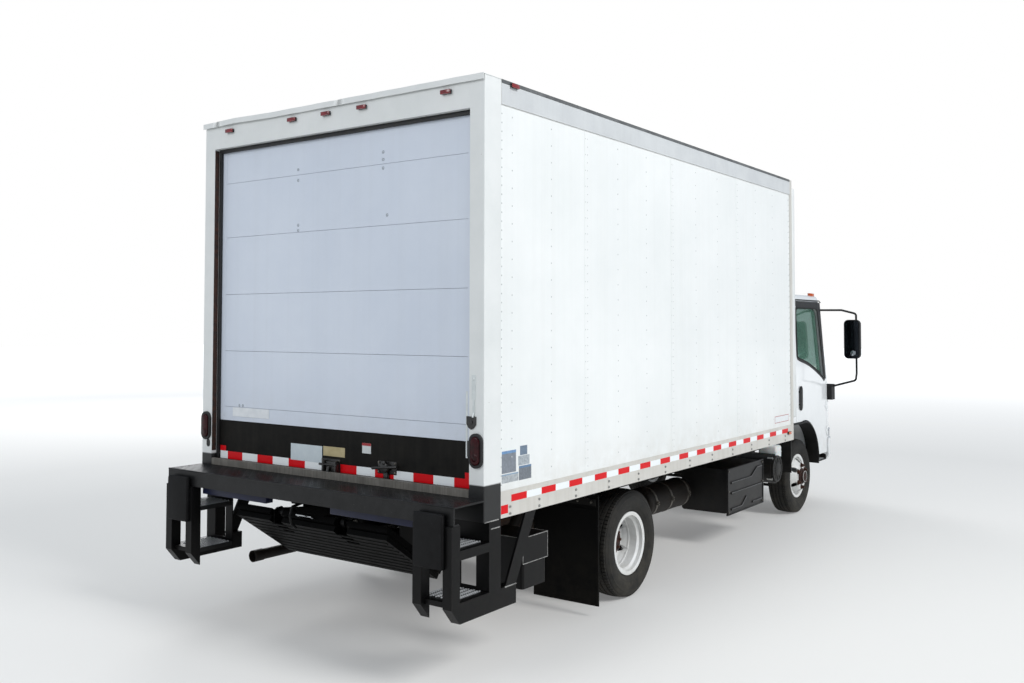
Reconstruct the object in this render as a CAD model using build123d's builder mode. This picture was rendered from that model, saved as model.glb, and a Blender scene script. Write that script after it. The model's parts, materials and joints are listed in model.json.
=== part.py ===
"""Box truck: tilting cab, ladder frame, dry-freight body and a lift gate folded under the rear.

+X points forward, +Y to the left, +Z up, and the origin is on the ground under the middle of the
outline. Lengths are in millimetres. Places along the truck are stations, measured forward from the
rear face of the body, and at() turns a station into X.
"""
import os
from functools import cache
from math import cos, radians, sin, sqrt

from build123d import *

# Whole truck
REAR_FACE_X = -3349
WHEELBASE = 3810
REAR_AXLE = 1967
FRONT_AXLE = REAR_AXLE + WHEELBASE
REAR_TRACK = 1650
FRONT_TRACK = 1666

# Wheels and tyres
TYRE_R = 380
TYRE_W = 215
TYRE_FACETS = 48
BEAD_R = 203
BEAD_HALF = 75.7
DISC_OFFSET = 124
HUB_R = 80
HAND_HOLES = 6
HAND_HOLE_R = 26
HAND_HOLE_CIRCLE = 150
DRUM_R = 160

# Steering
KINGPIN_Y = 690
KINGPIN_R = 18
STEER_ARM = 170
TIE_ROD_Z = 286

# Ladder frame
RAIL_Y = 425
RAIL_TOP = 780
RAIL_H = 190
RAIL_FLANGE = 65
RAIL_T = 7
FRAME_REAR = 200
FRAME_FRONT = 6850

# Body
BODY_L = 4877
BODY_HALF = 1219
BODY_TOP = 3319
FLOOR_TOP = 1005
FLOOR_T = 30
RAIL_BOTTOM = 862
TOP_RAIL_BOTTOM = 3180
WALL_T = 22
LIP_Y = 1184
LIP_BOTTOM = 930
RAIL_SKIN = 1209
POST_W = 103
POST_DEPTH = 153
FRONT_POST = 107
DOOR_TOP = 3143
DOOR_RECESS = 60
DOOR_T = 30
SEAM = 2

# Cab
CAB_REAR = 5165
CAB_FRONT = 6945
CAB_HALF = 998
CAB_TOP = 2292
CAB_WALL = 45
CAB_BOW = 35
SHOULDER_DROP = 30
SHOULDER_R = 110
BROW_R = 600
BROW_START = 6250
CAB_UNDER = 952
CAB_SILL = 560
CAB_NOSE = 715
ARCH_R = 432
ARCH_Z = 520
FLARE_R = 426
TUNNEL_HALF = 520
TUNNEL_FRONT = 6890
TILT_S = 6900
TILT_Z = 745
DOOR_GAP = 6
DOOR_AXIS_S = 6480
DOOR_AXIS_Y = 1000
BUMPER_R = 480
BUMPER_T = 38
BELT_Z = 1355
HEAD_Z = 2400
# the nose's side lamps start ahead of the door's swing
NOSE_SIDE_S = 6530
# bottom and top of the door's barrel at each hinge
HINGES = ((786, 814), (1046, 1074))
BARREL_R = 11
BARREL_L = 32

# Lift gate
GATE_PIVOT_S = 500
GATE_PIVOT_Z = 700
GATE_ARM = 594
GATE_RISE = 6.8
LINK_FORWARD = 70
LINK_DROP = 75
CRANK = 120
CYLINDER_S = 1050
CYLINDER_Z = 640
ROD_R = 16
PLATFORM_HALF = 650
STEP_REAR = -276
STEP_FOOT = 370
DECK_TOP = 985


def at(station):
    return REAR_FACE_X + station


def block(low, high, mode=Mode.ADD):
    """A box between two corners given as (station, y, z)."""
    size = [b - a for a, b in zip(low, high)]
    middle = [(a + b) / 2 for a, b in zip(low, high)]
    with Locations((at(middle[0]), middle[1], middle[2])):
        Box(*size, mode=mode)


def side_plane(y):
    """Plane whose local axes are X and Z; a positive extrude goes towards -Y."""
    return Plane(origin=(REAR_FACE_X, y, 0), x_dir=(1, 0, 0), z_dir=(0, -1, 0))


def cross_plane(station):
    """Plane whose local axes are Y and Z; a positive extrude goes forward."""
    return Plane(origin=(at(station), 0, 0), x_dir=(0, 1, 0), z_dir=(1, 0, 0))


def top_plane(z):
    return Plane(origin=(REAR_FACE_X, 0, z), x_dir=(1, 0, 0), z_dir=(0, 0, 1))


def prism(plane, points, amount, mode=Mode.ADD):
    """A straight-sided outline on a plane, extruded by an amount."""
    with BuildSketch(plane) as outline:
        with BuildLine():
            Polyline(*points, close=True)
        make_face()
    extrude(outline.sketch, amount=amount, mode=mode)


def side_prism(points, y_low, y_high, mode=Mode.ADD):
    prism(side_plane(y_high), points, y_high - y_low, mode)


def rod(start, end, radius, mode=Mode.ADD):
    """A round bar between two (station, y, z) points."""
    a = Vector(at(start[0]), start[1], start[2])
    b = Vector(at(end[0]), end[1], end[2])
    with Locations(Plane(origin=a, z_dir=b - a)):
        Cylinder(radius, (b - a).length, align=(Align.CENTER, Align.CENTER, Align.MIN), mode=mode)


def tube_run(points, radius, bend):
    """A bent round tube through (station, y, z) points with one bend radius."""
    path_points = [(at(s), y, z) for s, y, z in points]
    with BuildLine() as route:
        FilletPolyline(*path_points, radius=bend)
    start = Plane(origin=route.line @ 0, z_dir=route.line % 0)
    with BuildSketch(start) as section:
        Circle(radius)
    sweep(section.sketch, path=route.line)


# Wheels: each tyre is a full ring on its rim, and twin tyres share a hub

def tyre_ring(station, y):
    """A tyre as a ring of flat facets, its axis along Y, standing on one of its flats."""
    # distance from the middle plane, radius to the middle of a facet
    wall = [(BEAD_HALF, 224), (TYRE_W / 2, 286), (99, 352), (82, TYRE_R)]
    with BuildPart() as ring:
        for along, radius in [(-a, r) for a, r in wall] + wall[::-1]:
            with BuildSketch(Plane(origin=(at(station), y + along, TYRE_R), x_dir=(1, 0, 0), z_dir=(0, 1, 0))):
                RegularPolygon(radius, TYRE_FACETS, major_radius=False, rotation=180 / TYRE_FACETS)
        loft(ruled=True)
        with BuildSketch(Plane(origin=(at(station), y - BEAD_HALF, TYRE_R), x_dir=(1, 0, 0), z_dir=(0, 1, 0))):
            RegularPolygon(BEAD_R + 1, TYRE_FACETS, major_radius=False, rotation=180 / TYRE_FACETS)
        extrude(amount=2 * BEAD_HALF, mode=Mode.SUBTRACT)
    return ring.part


def wheel_rim(station, y, outward):
    """A pressed steel wheel: drop-centre barrel and a dished disc with hand holes.

    outward is +1 where the disc bulges towards +Y and -1 where it bulges towards -Y.
    """
    barrel = [
        (-84, 222), (-76, 222), (-76, BEAD_R), (-50, BEAD_R), (-38, 186), (38, 186), (50, BEAD_R),
        (76, BEAD_R), (76, 222), (84, 222), (84, 214), (81, 196), (54, 196), (42, 179), (-42, 179),
        (-54, 196), (-81, 196), (-84, 214),
    ]
    disc = [
        (20, 180), (44, 180), (78, 170), (115, 143), (DISC_OFFSET, 134), (DISC_OFFSET, HUB_R),
        (115, HUB_R), (115, 130), (108, 136), (72, 161), (36, 172), (20, 172),
    ]
    plane = Plane(origin=(at(station), y, TYRE_R), x_dir=(0, 1, 0), z_dir=(1, 0, 0))
    axis = Axis((at(station), y, TYRE_R), (0, 1, 0))
    for outline in (barrel, [(outward * a, r) for a, r in disc]):
        with BuildSketch(plane) as section:
            with BuildLine():
                Polyline(*outline, close=True)
            make_face()
        revolve(section.sketch, axis=axis)
    with Locations(Plane(origin=(at(station), y, TYRE_R), z_dir=(0, 1, 0))):
        with PolarLocations(HAND_HOLE_CIRCLE, HAND_HOLES):
            Cylinder(HAND_HOLE_R, 2 * DISC_OFFSET + 20, mode=Mode.SUBTRACT)


def axle_disc(station, y_low, y_high, radius):
    """A round solid on the wheel's axis, between two y places."""
    with Locations(Plane(origin=(at(station), y_low, TYRE_R), z_dir=(0, 1, 0))):
        Cylinder(radius, y_high - y_low, align=(Align.CENTER, Align.CENTER, Align.MIN))


FRONT_Y = FRONT_TRACK / 2
FRONT_FACE = FRONT_Y + DISC_OFFSET
REAR_FACE = REAR_TRACK / 2

with BuildPart() as tyre_front_left:
    add(tyre_ring(FRONT_AXLE, FRONT_Y))

with BuildPart() as tyres_rear_left:
    for tyre_y in (REAR_FACE - DISC_OFFSET, REAR_FACE + DISC_OFFSET):
        add(tyre_ring(REAR_AXLE, tyre_y))

with BuildPart() as wheel_front_left:
    wheel_rim(FRONT_AXLE, FRONT_Y, 1)
    # hub, end cap and brake disc
    hub = ((782, FRONT_FACE + 12, HUB_R), (FRONT_FACE, FRONT_FACE + 42, 56), (796, 828, 158))
    for y_low, y_high, radius in hub:
        axle_disc(FRONT_AXLE, y_low, y_high, radius)

with BuildPart() as wheels_rear_left:
    wheel_rim(REAR_AXLE, REAR_FACE - DISC_OFFSET, 1)
    wheel_rim(REAR_AXLE, REAR_FACE + DISC_OFFSET, -1)
    # brake drum, hub barrel and half-shaft flange
    for y_low, y_high, radius in ((650, 800, DRUM_R), (790, 890, HUB_R), (890, 905, 92)):
        axle_disc(REAR_AXLE, y_low, y_high, radius)

# Steering knuckles: a fork round the axle eye, the stub and the steering arm

with BuildPart() as knuckle_left:
    # fork ears above and below the axle eye, then the web, stub, pin and steering arm
    for z_low, z_high in ((300, 328), (432, 460)):
        with BuildSketch(Plane.XY.offset(z_low)):
            with Locations((at(FRONT_AXLE), KINGPIN_Y)):
                Circle(36)
            with Locations((at(FRONT_AXLE), KINGPIN_Y + 30)):
                Rectangle(72, 60)
        extrude(amount=z_high - z_low)
    block((FRONT_AXLE - 40, KINGPIN_Y + 42, 300), (FRONT_AXLE + 40, KINGPIN_Y + 60, 460))
    axle_disc(FRONT_AXLE, KINGPIN_Y + 50, 776, 44)
    rod((FRONT_AXLE, KINGPIN_Y, 296), (FRONT_AXLE, KINGPIN_Y, 464), KINGPIN_R)
    with BuildSketch(Plane.XY.offset(304)):
        with Locations((at(FRONT_AXLE - STEER_ARM), KINGPIN_Y)):
            Circle(24)
        with Locations((at(FRONT_AXLE - STEER_ARM / 2), KINGPIN_Y)):
            Rectangle(STEER_ARM, 40)
    extrude(amount=20)
    rod((FRONT_AXLE - STEER_ARM, KINGPIN_Y, 270), (FRONT_AXLE - STEER_ARM, KINGPIN_Y, 304), 10)

with BuildPart() as tie_rod:
    # rod between two eyes that hang on the steering arms' pins
    arm_end = FRONT_AXLE - STEER_ARM
    rod((arm_end, -KINGPIN_Y + 18, TIE_ROD_Z), (arm_end, KINGPIN_Y - 18, TIE_ROD_Z), 15)
    for eye_y in (-KINGPIN_Y, KINGPIN_Y):
        with Locations((at(arm_end), eye_y, TIE_ROD_Z)):
            Cylinder(24, 28)
            Cylinder(10.05, 40, mode=Mode.SUBTRACT)

# Chassis

with BuildPart() as ladder_frame:
    web = RAIL_TOP - RAIL_H
    inner = RAIL_Y - RAIL_FLANGE
    rail = [
        (RAIL_Y, web), (RAIL_Y, RAIL_TOP), (inner, RAIL_TOP), (inner, RAIL_TOP - RAIL_T),
        (RAIL_Y - RAIL_T, RAIL_TOP - RAIL_T), (RAIL_Y - RAIL_T, web + RAIL_T), (inner, web + RAIL_T),
        (inner, web),
    ]
    for side in (-1, 1):
        prism(cross_plane(FRAME_REAR), [(side * y, z) for y, z in rail], FRAME_FRONT - FRAME_REAR)
    # channel crossmembers between the rails' webs: station, bottom, top
    for station, z_low, z_high in (
        (1330, 640, 765), (2560, 640, 765), (3480, 640, 765), (4500, 640, 765), (6700, 600, 765),
    ):
        half = RAIL_Y - RAIL_T
        block((station, -half, z_low), (station + 8, half, z_high))
        block((station, -half, z_high - 8), (station + 55, half, z_high))
        block((station, -half, z_low), (station + 55, half, z_low + 8))
    # brackets at the front end, each bored for the cab's tilt tube
    bracket = [(6720, 620), (6850, 690), (TILT_S, TILT_Z - 34), (TILT_S, TILT_Z + 34), (6720, 779)]
    for y in (-RAIL_Y - 14, RAIL_Y):
        side_prism(bracket, y, y + 14)
        rod((TILT_S, y, TILT_Z), (TILT_S, y + 14, TILT_Z), 34)
    rod((TILT_S, -RAIL_Y - 20, TILT_Z), (TILT_S, RAIL_Y + 20, TILT_Z), 18.6, mode=Mode.SUBTRACT)

with BuildPart() as leaf_springs:
    # arched packs: centre station, y, half length, seat height, end height, leaves
    for station, y, half, seat, end, leaves in (
        (REAR_AXLE, 470, 640, 442, 560, 4), (FRONT_AXLE, 390, 590, 352, 500, 3),
    ):
        for side in (-1, 1):
            for leaf in range(leaves):
                reach = half * (1 - 0.2 * (leaves - 1 - leaf))
                base = seat + 16 * leaf
                tip = base + (end - seat - 16 * (leaves - 1)) * (reach / half) ** 2
                back, fore = station - reach, station + reach
                with BuildSketch(side_plane(side * y + 35)):
                    with BuildLine():
                        ThreePointArc((back, tip), (station, base), (fore, tip))
                        Line((fore, tip), (fore, tip + 16))
                        ThreePointArc((fore, tip + 16), (station, base + 16), (back, tip + 16))
                        Line((back, tip + 16), (back, tip))
                    make_face()
                extrude(amount=70)
            # clamp plates over the seat, and the hangers that reach up to the frame rail
            top = seat + 16 * leaves
            block((station - 90, side * y - 42, top), (station + 90, side * y + 42, top + 14))
            for hand in (-1, 1):
                near = station + hand * (half - 30)
                low, high = sorted((near - 28, near + 28))
                block((low, side * y - 35, end - 2), (high, side * y + 35, 588))

with BuildPart() as front_axle:
    # forged beam with a dropped middle and an eye at each end
    eye = KINGPIN_Y - 25
    beam = [
        (-eye, 345), (-560, 345), (-440, 280), (440, 280), (560, 345), (eye, 345),
        (eye, 415), (560, 415), (440, 350), (-440, 350), (-560, 415), (-eye, 415),
    ]
    prism(cross_plane(FRONT_AXLE - 34), beam, 68)
    for face in (-34, 34):
        for y_low, y_high in ((-430, -20), (20, 430)):
            low, high = sorted((FRONT_AXLE + face, FRONT_AXLE + face * 0.4))
            block((low, y_low, 296), (high, y_high, 334), mode=Mode.SUBTRACT)
    for side in (-1, 1):
        with Locations((at(FRONT_AXLE), side * KINGPIN_Y, 380)):
            Cylinder(34, 94)
            Cylinder(KINGPIN_R + 0.05, 100, mode=Mode.SUBTRACT)

with BuildPart() as rear_axle:
    # housing tube, round banjo with its cover, pinion nose and brake backing plates
    rod((REAR_AXLE, -640, TYRE_R), (REAR_AXLE, 640, TYRE_R), 58)
    with BuildSketch(Plane(origin=(at(REAR_AXLE - 120), 0, TYRE_R), x_dir=(0, 1, 0), z_dir=(1, 0, 0))):
        Circle(165)
    extrude(amount=250)
    chamfer(faces().sort_by(Axis.X)[0].edges(), 60)
    with Locations(Plane(origin=(at(REAR_AXLE + 110), 0, TYRE_R), z_dir=(1, 0, 0))):
        Cone(120, 62, 190, align=(Align.CENTER, Align.CENTER, Align.MIN))
    for side in (-1, 1):
        with Locations(Plane(origin=(at(REAR_AXLE), side * 634, TYRE_R), z_dir=(0, 1, 0))):
            Cylinder(150, 12)
        block((REAR_AXLE - 60, side * 470 - 40, 425), (REAR_AXLE + 60, side * 470 + 40, 441.5))

with BuildPart() as engine:
    block((5330, -290, 470), (6200, 290, 930))
    fillet(edges().filter_by(Axis.X), 40)

with BuildPart() as driveline:
    # gearbox, two tubular shafts with their joints, and the middle bearing
    with BuildSketch(cross_plane(5325)):
        with Locations((0, 620)):
            RectangleRounded(400, 300, 60)
    with BuildSketch(cross_plane(4790)):
        with Locations((0, 610)):
            RectangleRounded(240, 220, 50)
    loft()
    rod((4795, 0, 600), (4700, 0, 598), 62)
    rod((4705, 0, 598), (3520, 0, 560), 42)
    rod((3520, 0, 560), (3440, 0, 556), 60)
    rod((3445, 0, 556), (2350, 0, 398), 42)
    rod((2355, 0, 399), (2290, 0, 388), 56)
    block((3470, -95, 540), (3500, 95, 639))

with BuildPart() as fuel_tank:
    block((2900, 480, 300), (3900, 900, 700))
    fillet(edges().filter_by(Axis.X), 60)
    for station in (3100, 3660):
        block((station, 474, 292), (station + 45, 908, 300))
        block((station, 900, 292), (station + 45, 908, 700))
        block((station, 426, 690), (station + 45, 480, 760))
    with Locations(Plane(origin=(at(3820), 890, 640), z_dir=(0, 1, 0.35))):
        Cylinder(42, 70, align=(Align.CENTER, Align.CENTER, Align.MIN))

with BuildPart() as exhaust:
    # treatment canister with the pipe from the engine, and the tailpipe over the axle to the left rear
    with Locations(Plane(origin=(at(2900), -600, 480), z_dir=(1, 0, 0))):
        Cylinder(122, 760, align=(Align.CENTER, Align.CENTER, Align.MIN))
    fillet(edges().filter_by(GeomType.CIRCLE), 30)
    tube_run([(3650, -505, 470), (4980, -505, 470), (5110, -262, 500), (5324, -250, 520)], 35, 110)
    tube_run(
        [(2910, -600, 480), (2660, -550, 500), (2380, -550, 650), (1280, -550, 650), (1130, -520, 430),
         (1080, 0, 420), (1010, 600, 410), (800, 745, 400), (100, 745, 404)],
        35, 75,
    )

with BuildPart() as battery_box:
    # ribbed cover over the batteries, hung from the frame rail
    block((3790, -990, 300), (4590, -560, 680))
    fillet(edges().filter_by(Axis.X), 25)
    block((3775, -1002, 285), (4600, -990, 690))
    # raised ribs on the cover, each a run of (station, z)
    for run in (
        [(3850, 560), (4300, 560), (4440, 630), (4560, 630)],
        [(3850, 470), (4560, 470)],
        [(3850, 330), (4080, 330), (4190, 400)],
        [(4330, 330), (4560, 330)],
    ):
        with BuildSketch(side_plane(-1001)):
            with BuildLine():
                Polyline(*run)
            trace(line_width=18)
        extrude(amount=9)
    for station in (3900, 4400):
        block((station, -560, 600), (station + 60, -426, 680))

with BuildPart() as air_cleaner:
    # round canister across the truck with a stepped end cover, its duct and bracket
    for start, length, radius in ((0, 60, 128), (20, 320, 142)):
        with Locations(Plane(origin=(at(5010), -990 + start, 548), z_dir=(0, 1, 0))):
            Cylinder(radius, length, align=(Align.CENTER, Align.CENTER, Align.MIN))
    rod((5010, -675, 548), (5010, -460, 632), 52)
    # coolant bottle above the canister, with its neck
    with BuildSketch(top_plane(640)):
        with Locations((5075, -892)):
            RectangleRounded(142, 185, 34)
    extrude(amount=125)
    fillet(faces().sort_by(Axis.Z)[-1].edges(), 22)
    with Locations((at(5100), -900, 765)):
        Cylinder(30, 50)

with BuildPart() as front_bumper:
    # pressed channel round the nose, tucked in along its foot, with a centre slot and two lamp holes
    for foot, height, inset, mode in ((478, 225, 0, Mode.ADD), (470, 240, BUMPER_T, Mode.SUBTRACT)):
        front, half = 6998 - inset, 1008 - inset
        with BuildSketch(top_plane(foot)) as plan:
            with BuildLine():
                rear = 6510 - inset
                Polyline((rear, -half), (front, -half), (front, half), (rear, half), close=True)
            make_face()
            fillet(vertices().group_by(Axis.X)[-1], BUMPER_R - inset)
        extrude(plan.sketch, amount=height, mode=mode)
        if mode == Mode.ADD:
            chamfer(faces().sort_by(Axis.Z)[0].edges().sort_by(Axis.X)[1:], 50, 26)
    with BuildSketch(cross_plane(6900)) as slots:
        with Locations((0, 600)):
            SlotOverall(640, 76)
        with Locations((-430, 600), (430, 600)):
            Circle(52)
    extrude(slots.sketch, amount=150, mode=Mode.SUBTRACT)
    for side in (-1, 1):
        block((FRAME_FRONT + 1, side * 395 - 25, 570), (6962, side * 395 + 25, 680))

with BuildPart() as mud_flaps:
    for side in (-1, 1):
        low, high = sorted((side * 592, side * 1110))
        block((1395, low, 75), (1407, high, 800))
        block((1400, low + 40, 800), (1440, high - 40, 860))

# Body

# faces that the side sheets and their posts stand between
PANEL_OUT = BODY_HALF - 6
PANEL_IN = PANEL_OUT - WALL_T

with BuildPart() as box_floor:
    # boards between the side walls, and between the rear posts up to the sill
    deck_bottom = FLOOR_TOP - FLOOR_T
    block((POST_DEPTH + 1, -PANEL_IN + 0.5, deck_bottom), (BODY_L - 60, PANEL_IN - 0.5, FLOOR_TOP))
    block((19, -BODY_HALF + POST_W + 2, deck_bottom), (POST_DEPTH + 1, BODY_HALF - POST_W - 2, FLOOR_TOP))

with BuildPart() as floor_crossmembers:
    # angles on 12 inch centres, clipped to the bottom rails under their lips
    for member in range(16):
        station = 165 + member * 305
        block((station, -LIP_Y, 872), (station + 8, LIP_Y, deck_bottom))
        block((station, -LIP_Y, 872), (station + 50, LIP_Y, 880))
        block((station, -RAIL_SKIN + 0.5, 872), (station + 8, RAIL_SKIN - 0.5, LIP_BOTTOM - 1))

with BuildPart() as floor_sills:
    # long sills that stand on the frame rails
    for side in (-1, 1):
        low, high = sorted((side * 362, side * 424))
        block((100, low, RAIL_TOP), (4800, high, 872))

panel_edges = [POST_DEPTH, 1080, 2300, 3520, BODY_L - FRONT_POST]
with BuildPart() as side_panels_left:
    # riveted sheets between the posts, with a seam between neighbours
    for rear, front in zip(panel_edges, panel_edges[1:]):
        block((rear + SEAM / 2, PANEL_IN, LIP_BOTTOM + 11), (front - SEAM / 2, PANEL_OUT, 3185))

with BuildPart() as front_wall:
    block((BODY_L - 40, -1148, FLOOR_TOP + 1), (BODY_L - 12, 1148, 3235))

with BuildPart() as roof:
    # sheet with a slight crown over the rails, and its cross bows
    with BuildSketch(cross_plane(POST_DEPTH + 1)):
        with BuildLine():
            ThreePointArc((-1190, 3296), (0, 3316), (1190, 3296))
            Line((1190, 3296), (1190, 3286))
            ThreePointArc((1190, 3286), (0, 3306), (-1190, 3286))
            Line((-1190, 3286), (-1190, 3296))
        make_face()
    extrude(amount=BODY_L - POST_DEPTH - 21)

with BuildPart() as body_rails:
    # bottom and top extrusions with their lips, and the rounded front corner posts
    bottom = [
        (1219, 862), (1219, 1010), (1213.5, 1010), (1213.5, LIP_BOTTOM + 10), (LIP_Y + 1, LIP_BOTTOM + 10),
        (LIP_Y + 1, LIP_BOTTOM), (RAIL_SKIN, LIP_BOTTOM), (RAIL_SKIN, 862),
    ]
    top = [
        (1219, TOP_RAIL_BOTTOM), (1219, 3300), (1205, 3319), (1150, 3319), (1150, 3317), (1200, 3317),
        (1200, 3284), (1150, 3284), (1150, 3276), (1213.5, 3276), (1213.5, TOP_RAIL_BOTTOM),
    ]
    for side in (-1, 1):
        for outline in (bottom, top):
            prism(
                cross_plane(POST_DEPTH + 1), [(side * y, z) for y, z in outline],
                BODY_L - FRONT_POST - POST_DEPTH - 2,
            )
        with BuildSketch(Plane(origin=(REAR_FACE_X, 0, 862), x_dir=(1, 0, 0), z_dir=(0, 0, 1))):
            with BuildLine():
                edge = side * BODY_HALF
                skin = side * (BODY_HALF - 8)
                Line((BODY_L - FRONT_POST, edge), (BODY_L - 60, edge))
                RadiusArc((BODY_L - 60, edge), (BODY_L, side * (BODY_HALF - 60)), side * 60)
                Line((BODY_L, side * (BODY_HALF - 60)), (BODY_L, side * 1150))
                Line((BODY_L, side * 1150), (BODY_L - 8, side * 1150))
                Line((BODY_L - 8, side * 1150), (BODY_L - 8, side * (BODY_HALF - 60)))
                RadiusArc((BODY_L - 8, side * (BODY_HALF - 60)), (BODY_L - 60, skin), side * -52)
                Line((BODY_L - 60, skin), (BODY_L - FRONT_POST, skin))
                Line((BODY_L - FRONT_POST, skin), (BODY_L - FRONT_POST, edge))
            make_face()
        extrude(amount=BODY_TOP - 862)
    # front top rail between the posts
    block((BODY_L - 11, -1148, 3180), (BODY_L, 1148, 3319))
    block((BODY_L - 11, -1148, 862), (BODY_L, 1148, 1010))

with BuildPart() as rear_frame:
    # welded corner posts, header and sill round the door opening
    for side in (-1, 1):
        low, high = sorted((side * (BODY_HALF - POST_W), side * BODY_HALF))
        block((0, low, RAIL_BOTTOM), (POST_DEPTH, high, BODY_TOP))
    block((0, -BODY_HALF, DOOR_TOP), (POST_DEPTH, BODY_HALF, BODY_TOP))
    block(
        (12, -BODY_HALF + POST_W, DOOR_TOP + 8), (POST_DEPTH + 1, BODY_HALF - POST_W, BODY_TOP - 8),
        mode=Mode.SUBTRACT,
    )
    block((0, -BODY_HALF, RAIL_BOTTOM), (18, BODY_HALF, 1030))
    # the posts are open channels towards the load space
    for side in (-1, 1):
        low, high = sorted((side * (BODY_HALF - POST_W + 8), side * (BODY_HALF - 8)))
        block((8, low, RAIL_BOTTOM - 1), (POST_DEPTH + 1, high, DOOR_TOP - 8), mode=Mode.SUBTRACT)
    fillet(edges().filter_by(Axis.Z).group_by(Axis.X)[0].sort_by(Axis.Y)[-1], 6)
    fillet(edges().filter_by(Axis.Z).group_by(Axis.X)[0].sort_by(Axis.Y)[0], 6)

with BuildPart() as roller_door:
    # five hinged sections, the lowest with its deep bottom panel, in front of the side tracks
    joints = [1032, 1380, 1758, 2143, 2533, 2905, 3142]
    for z_low, z_high in zip(joints, joints[1:]):
        block((DOOR_RECESS, -1108, z_low + SEAM / 2), (DOOR_RECESS + DOOR_T, 1108, z_high - SEAM / 2))

with BuildPart() as body_lamps:
    # header markers, then the oval tail lamps in their grommets
    for y in (-950, -290, 20, 330, 950):
        with Locations((at(-7), y, 3252)):
            Box(14, 66, 24)
    for side in (-1, 1):
        with BuildSketch(cross_plane(-14)):
            with Locations((side * 1168, 1248)):
                SlotOverall(190, 92, rotation=90)
        extrude(amount=14)
        block((235, side * 1226 - 7, 3290), (305, side * 1226 + 7, 3312))
        block((4660, side * 1226 - 7, 925), (4730, side * 1226 + 7, 950))

# Lift gate and steps behind the body

with BuildPart() as dock_plate:
    # tread plate level with the floor, folded down into a lip along its rear edge
    block((-250, -BODY_HALF, 975), (-1, BODY_HALF, DECK_TOP))
    block((-262, -BODY_HALF, 885), (-250, BODY_HALF, DECK_TOP))
    block((-250, -BODY_HALF, 885), (-215, BODY_HALF, 893))
    for y in (-900, -450, 0, 450, 900):
        side_prism([(-250, 893), (-1, 893), (-1, 975), (-250, 975)], y - 4, y + 4)
    # glossy square bars that carry the platform's rest
    for y_low, y_high in ((-917, -260), (300, 917)):
        block((-215, y_low, 838), (-160, y_high, 885))

# bottom faces of the lower and upper treads, and their thickness
TREADS = (452, 722)
TREAD_T = 28

with BuildPart() as step_frame_left:
    # outer posts, foot rail and braces, from square tube and plate
    outer, post, inner_y = BODY_HALF, 60, 950
    for y_high in (outer, inner_y + post):
        side_prism([(STEP_REAR, 455), (-205, STEP_FOOT), (-205, 884), (STEP_REAR, 884)], y_high - post, y_high)
    side_prism([(-205, STEP_FOOT), (301, STEP_FOOT), (301, 480), (-205, 480)], outer - post, outer)
    side_prism([(48, 480), (155, 480), (155, 861), (48, 861)], outer - post, outer)
    side_prism([(198, 480), (301, 480), (500, 861), (397, 861)], outer - 14, outer)
    side_prism([(STEP_REAR, 700), (48, 700), (48, 750), (STEP_REAR, 750)], outer - post, outer)
    # cross tubes that carry the rear edge of each tread, and the plate at its front edge
    for tread_z in TREADS:
        block((-245, inner_y + post, tread_z), (-205, outer - post, tread_z + TREAD_T))
    block((48, inner_y, 452), (56, outer - post, 861))
    block((48, inner_y + 70, 500), (56, outer - post - 30, 700), mode=Mode.SUBTRACT)
    # rubber dock bumper on the rear posts
    bumper = [(-300, 680), (-296, 660), (STEP_REAR, 660), (STEP_REAR, 945), (-296, 945), (-300, 925)]
    side_prism(bumper, 975, 1170)

with BuildPart() as step_treads:
    # slotted planks, two on each side
    for side in (-1, 1):
        for tread_z in TREADS:
            low, high = sorted((side * inner_y, side * (outer - post)))
            block((-205, low, tread_z), (48, high, tread_z + TREAD_T))
            for slot in range(5):
                y = side * (inner_y + 37 + slot * 38)
                block((-190, y - 7, tread_z), (30, y + 7, tread_z + TREAD_T), mode=Mode.SUBTRACT)

with BuildPart() as pump_box:
    block((400, -1195, 414), (640, -905, 700))
    fillet(edges().filter_by(Axis.Z), 18)
    block((392, -1203, 560), (648, -897, 712))
    block((400, -905, 690), (560, -426, 712))

GATE_END_S = GATE_PIVOT_S - GATE_ARM * cos(radians(GATE_RISE))
GATE_END_Z = GATE_PIVOT_Z + GATE_ARM * sin(radians(GATE_RISE))
crank_eye = (GATE_PIVOT_S, GATE_PIVOT_Z - CRANK)
stroke_len = sqrt((CYLINDER_S - crank_eye[0]) ** 2 + (CYLINDER_Z - crank_eye[1]) ** 2)


def along_cylinder(distance):
    """A point on the cylinder's axis, at a distance from its base pin."""
    share = distance / stroke_len
    station = CYLINDER_S + (crank_eye[0] - CYLINDER_S) * share
    return station, 0, CYLINDER_Z + (crank_eye[1] - CYLINDER_Z) * share


with BuildPart() as gate_frame:
    # beam inside the frame rails with the hanger plates, and the cylinder's anchor beam
    block((600, -417, 660), (700, 417, 760))
    hanger = [(450, 745), (450, 665), (530, 580), (610, 580), (700, 660), (700, 760), (480, 760)]
    for side in (-1, 1):
        for y in (230, 316):
            low, high = sorted((side * y, side * (y + 14)))
            side_prism(hanger, low, high)
    for station, z, radius in (
        (GATE_PIVOT_S, GATE_PIVOT_Z, 16.05),
        (GATE_PIVOT_S + LINK_FORWARD, GATE_PIVOT_Z - LINK_DROP, 14.05),
    ):
        rod((station, -340, z), (station, 340, z), radius, mode=Mode.SUBTRACT)
    block((1100, -417, 660), (1150, 417, 760))
    for y in (-36, 24):
        side_prism([(1025, 640), (1050, 612), (1150, 660), (1150, 760), (1100, 760), (1030, 670)], y, y + 12)
    rod((CYLINDER_S, -40, CYLINDER_Z), (CYLINDER_S, 40, CYLINDER_Z), 12.05, mode=Mode.SUBTRACT)


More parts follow.
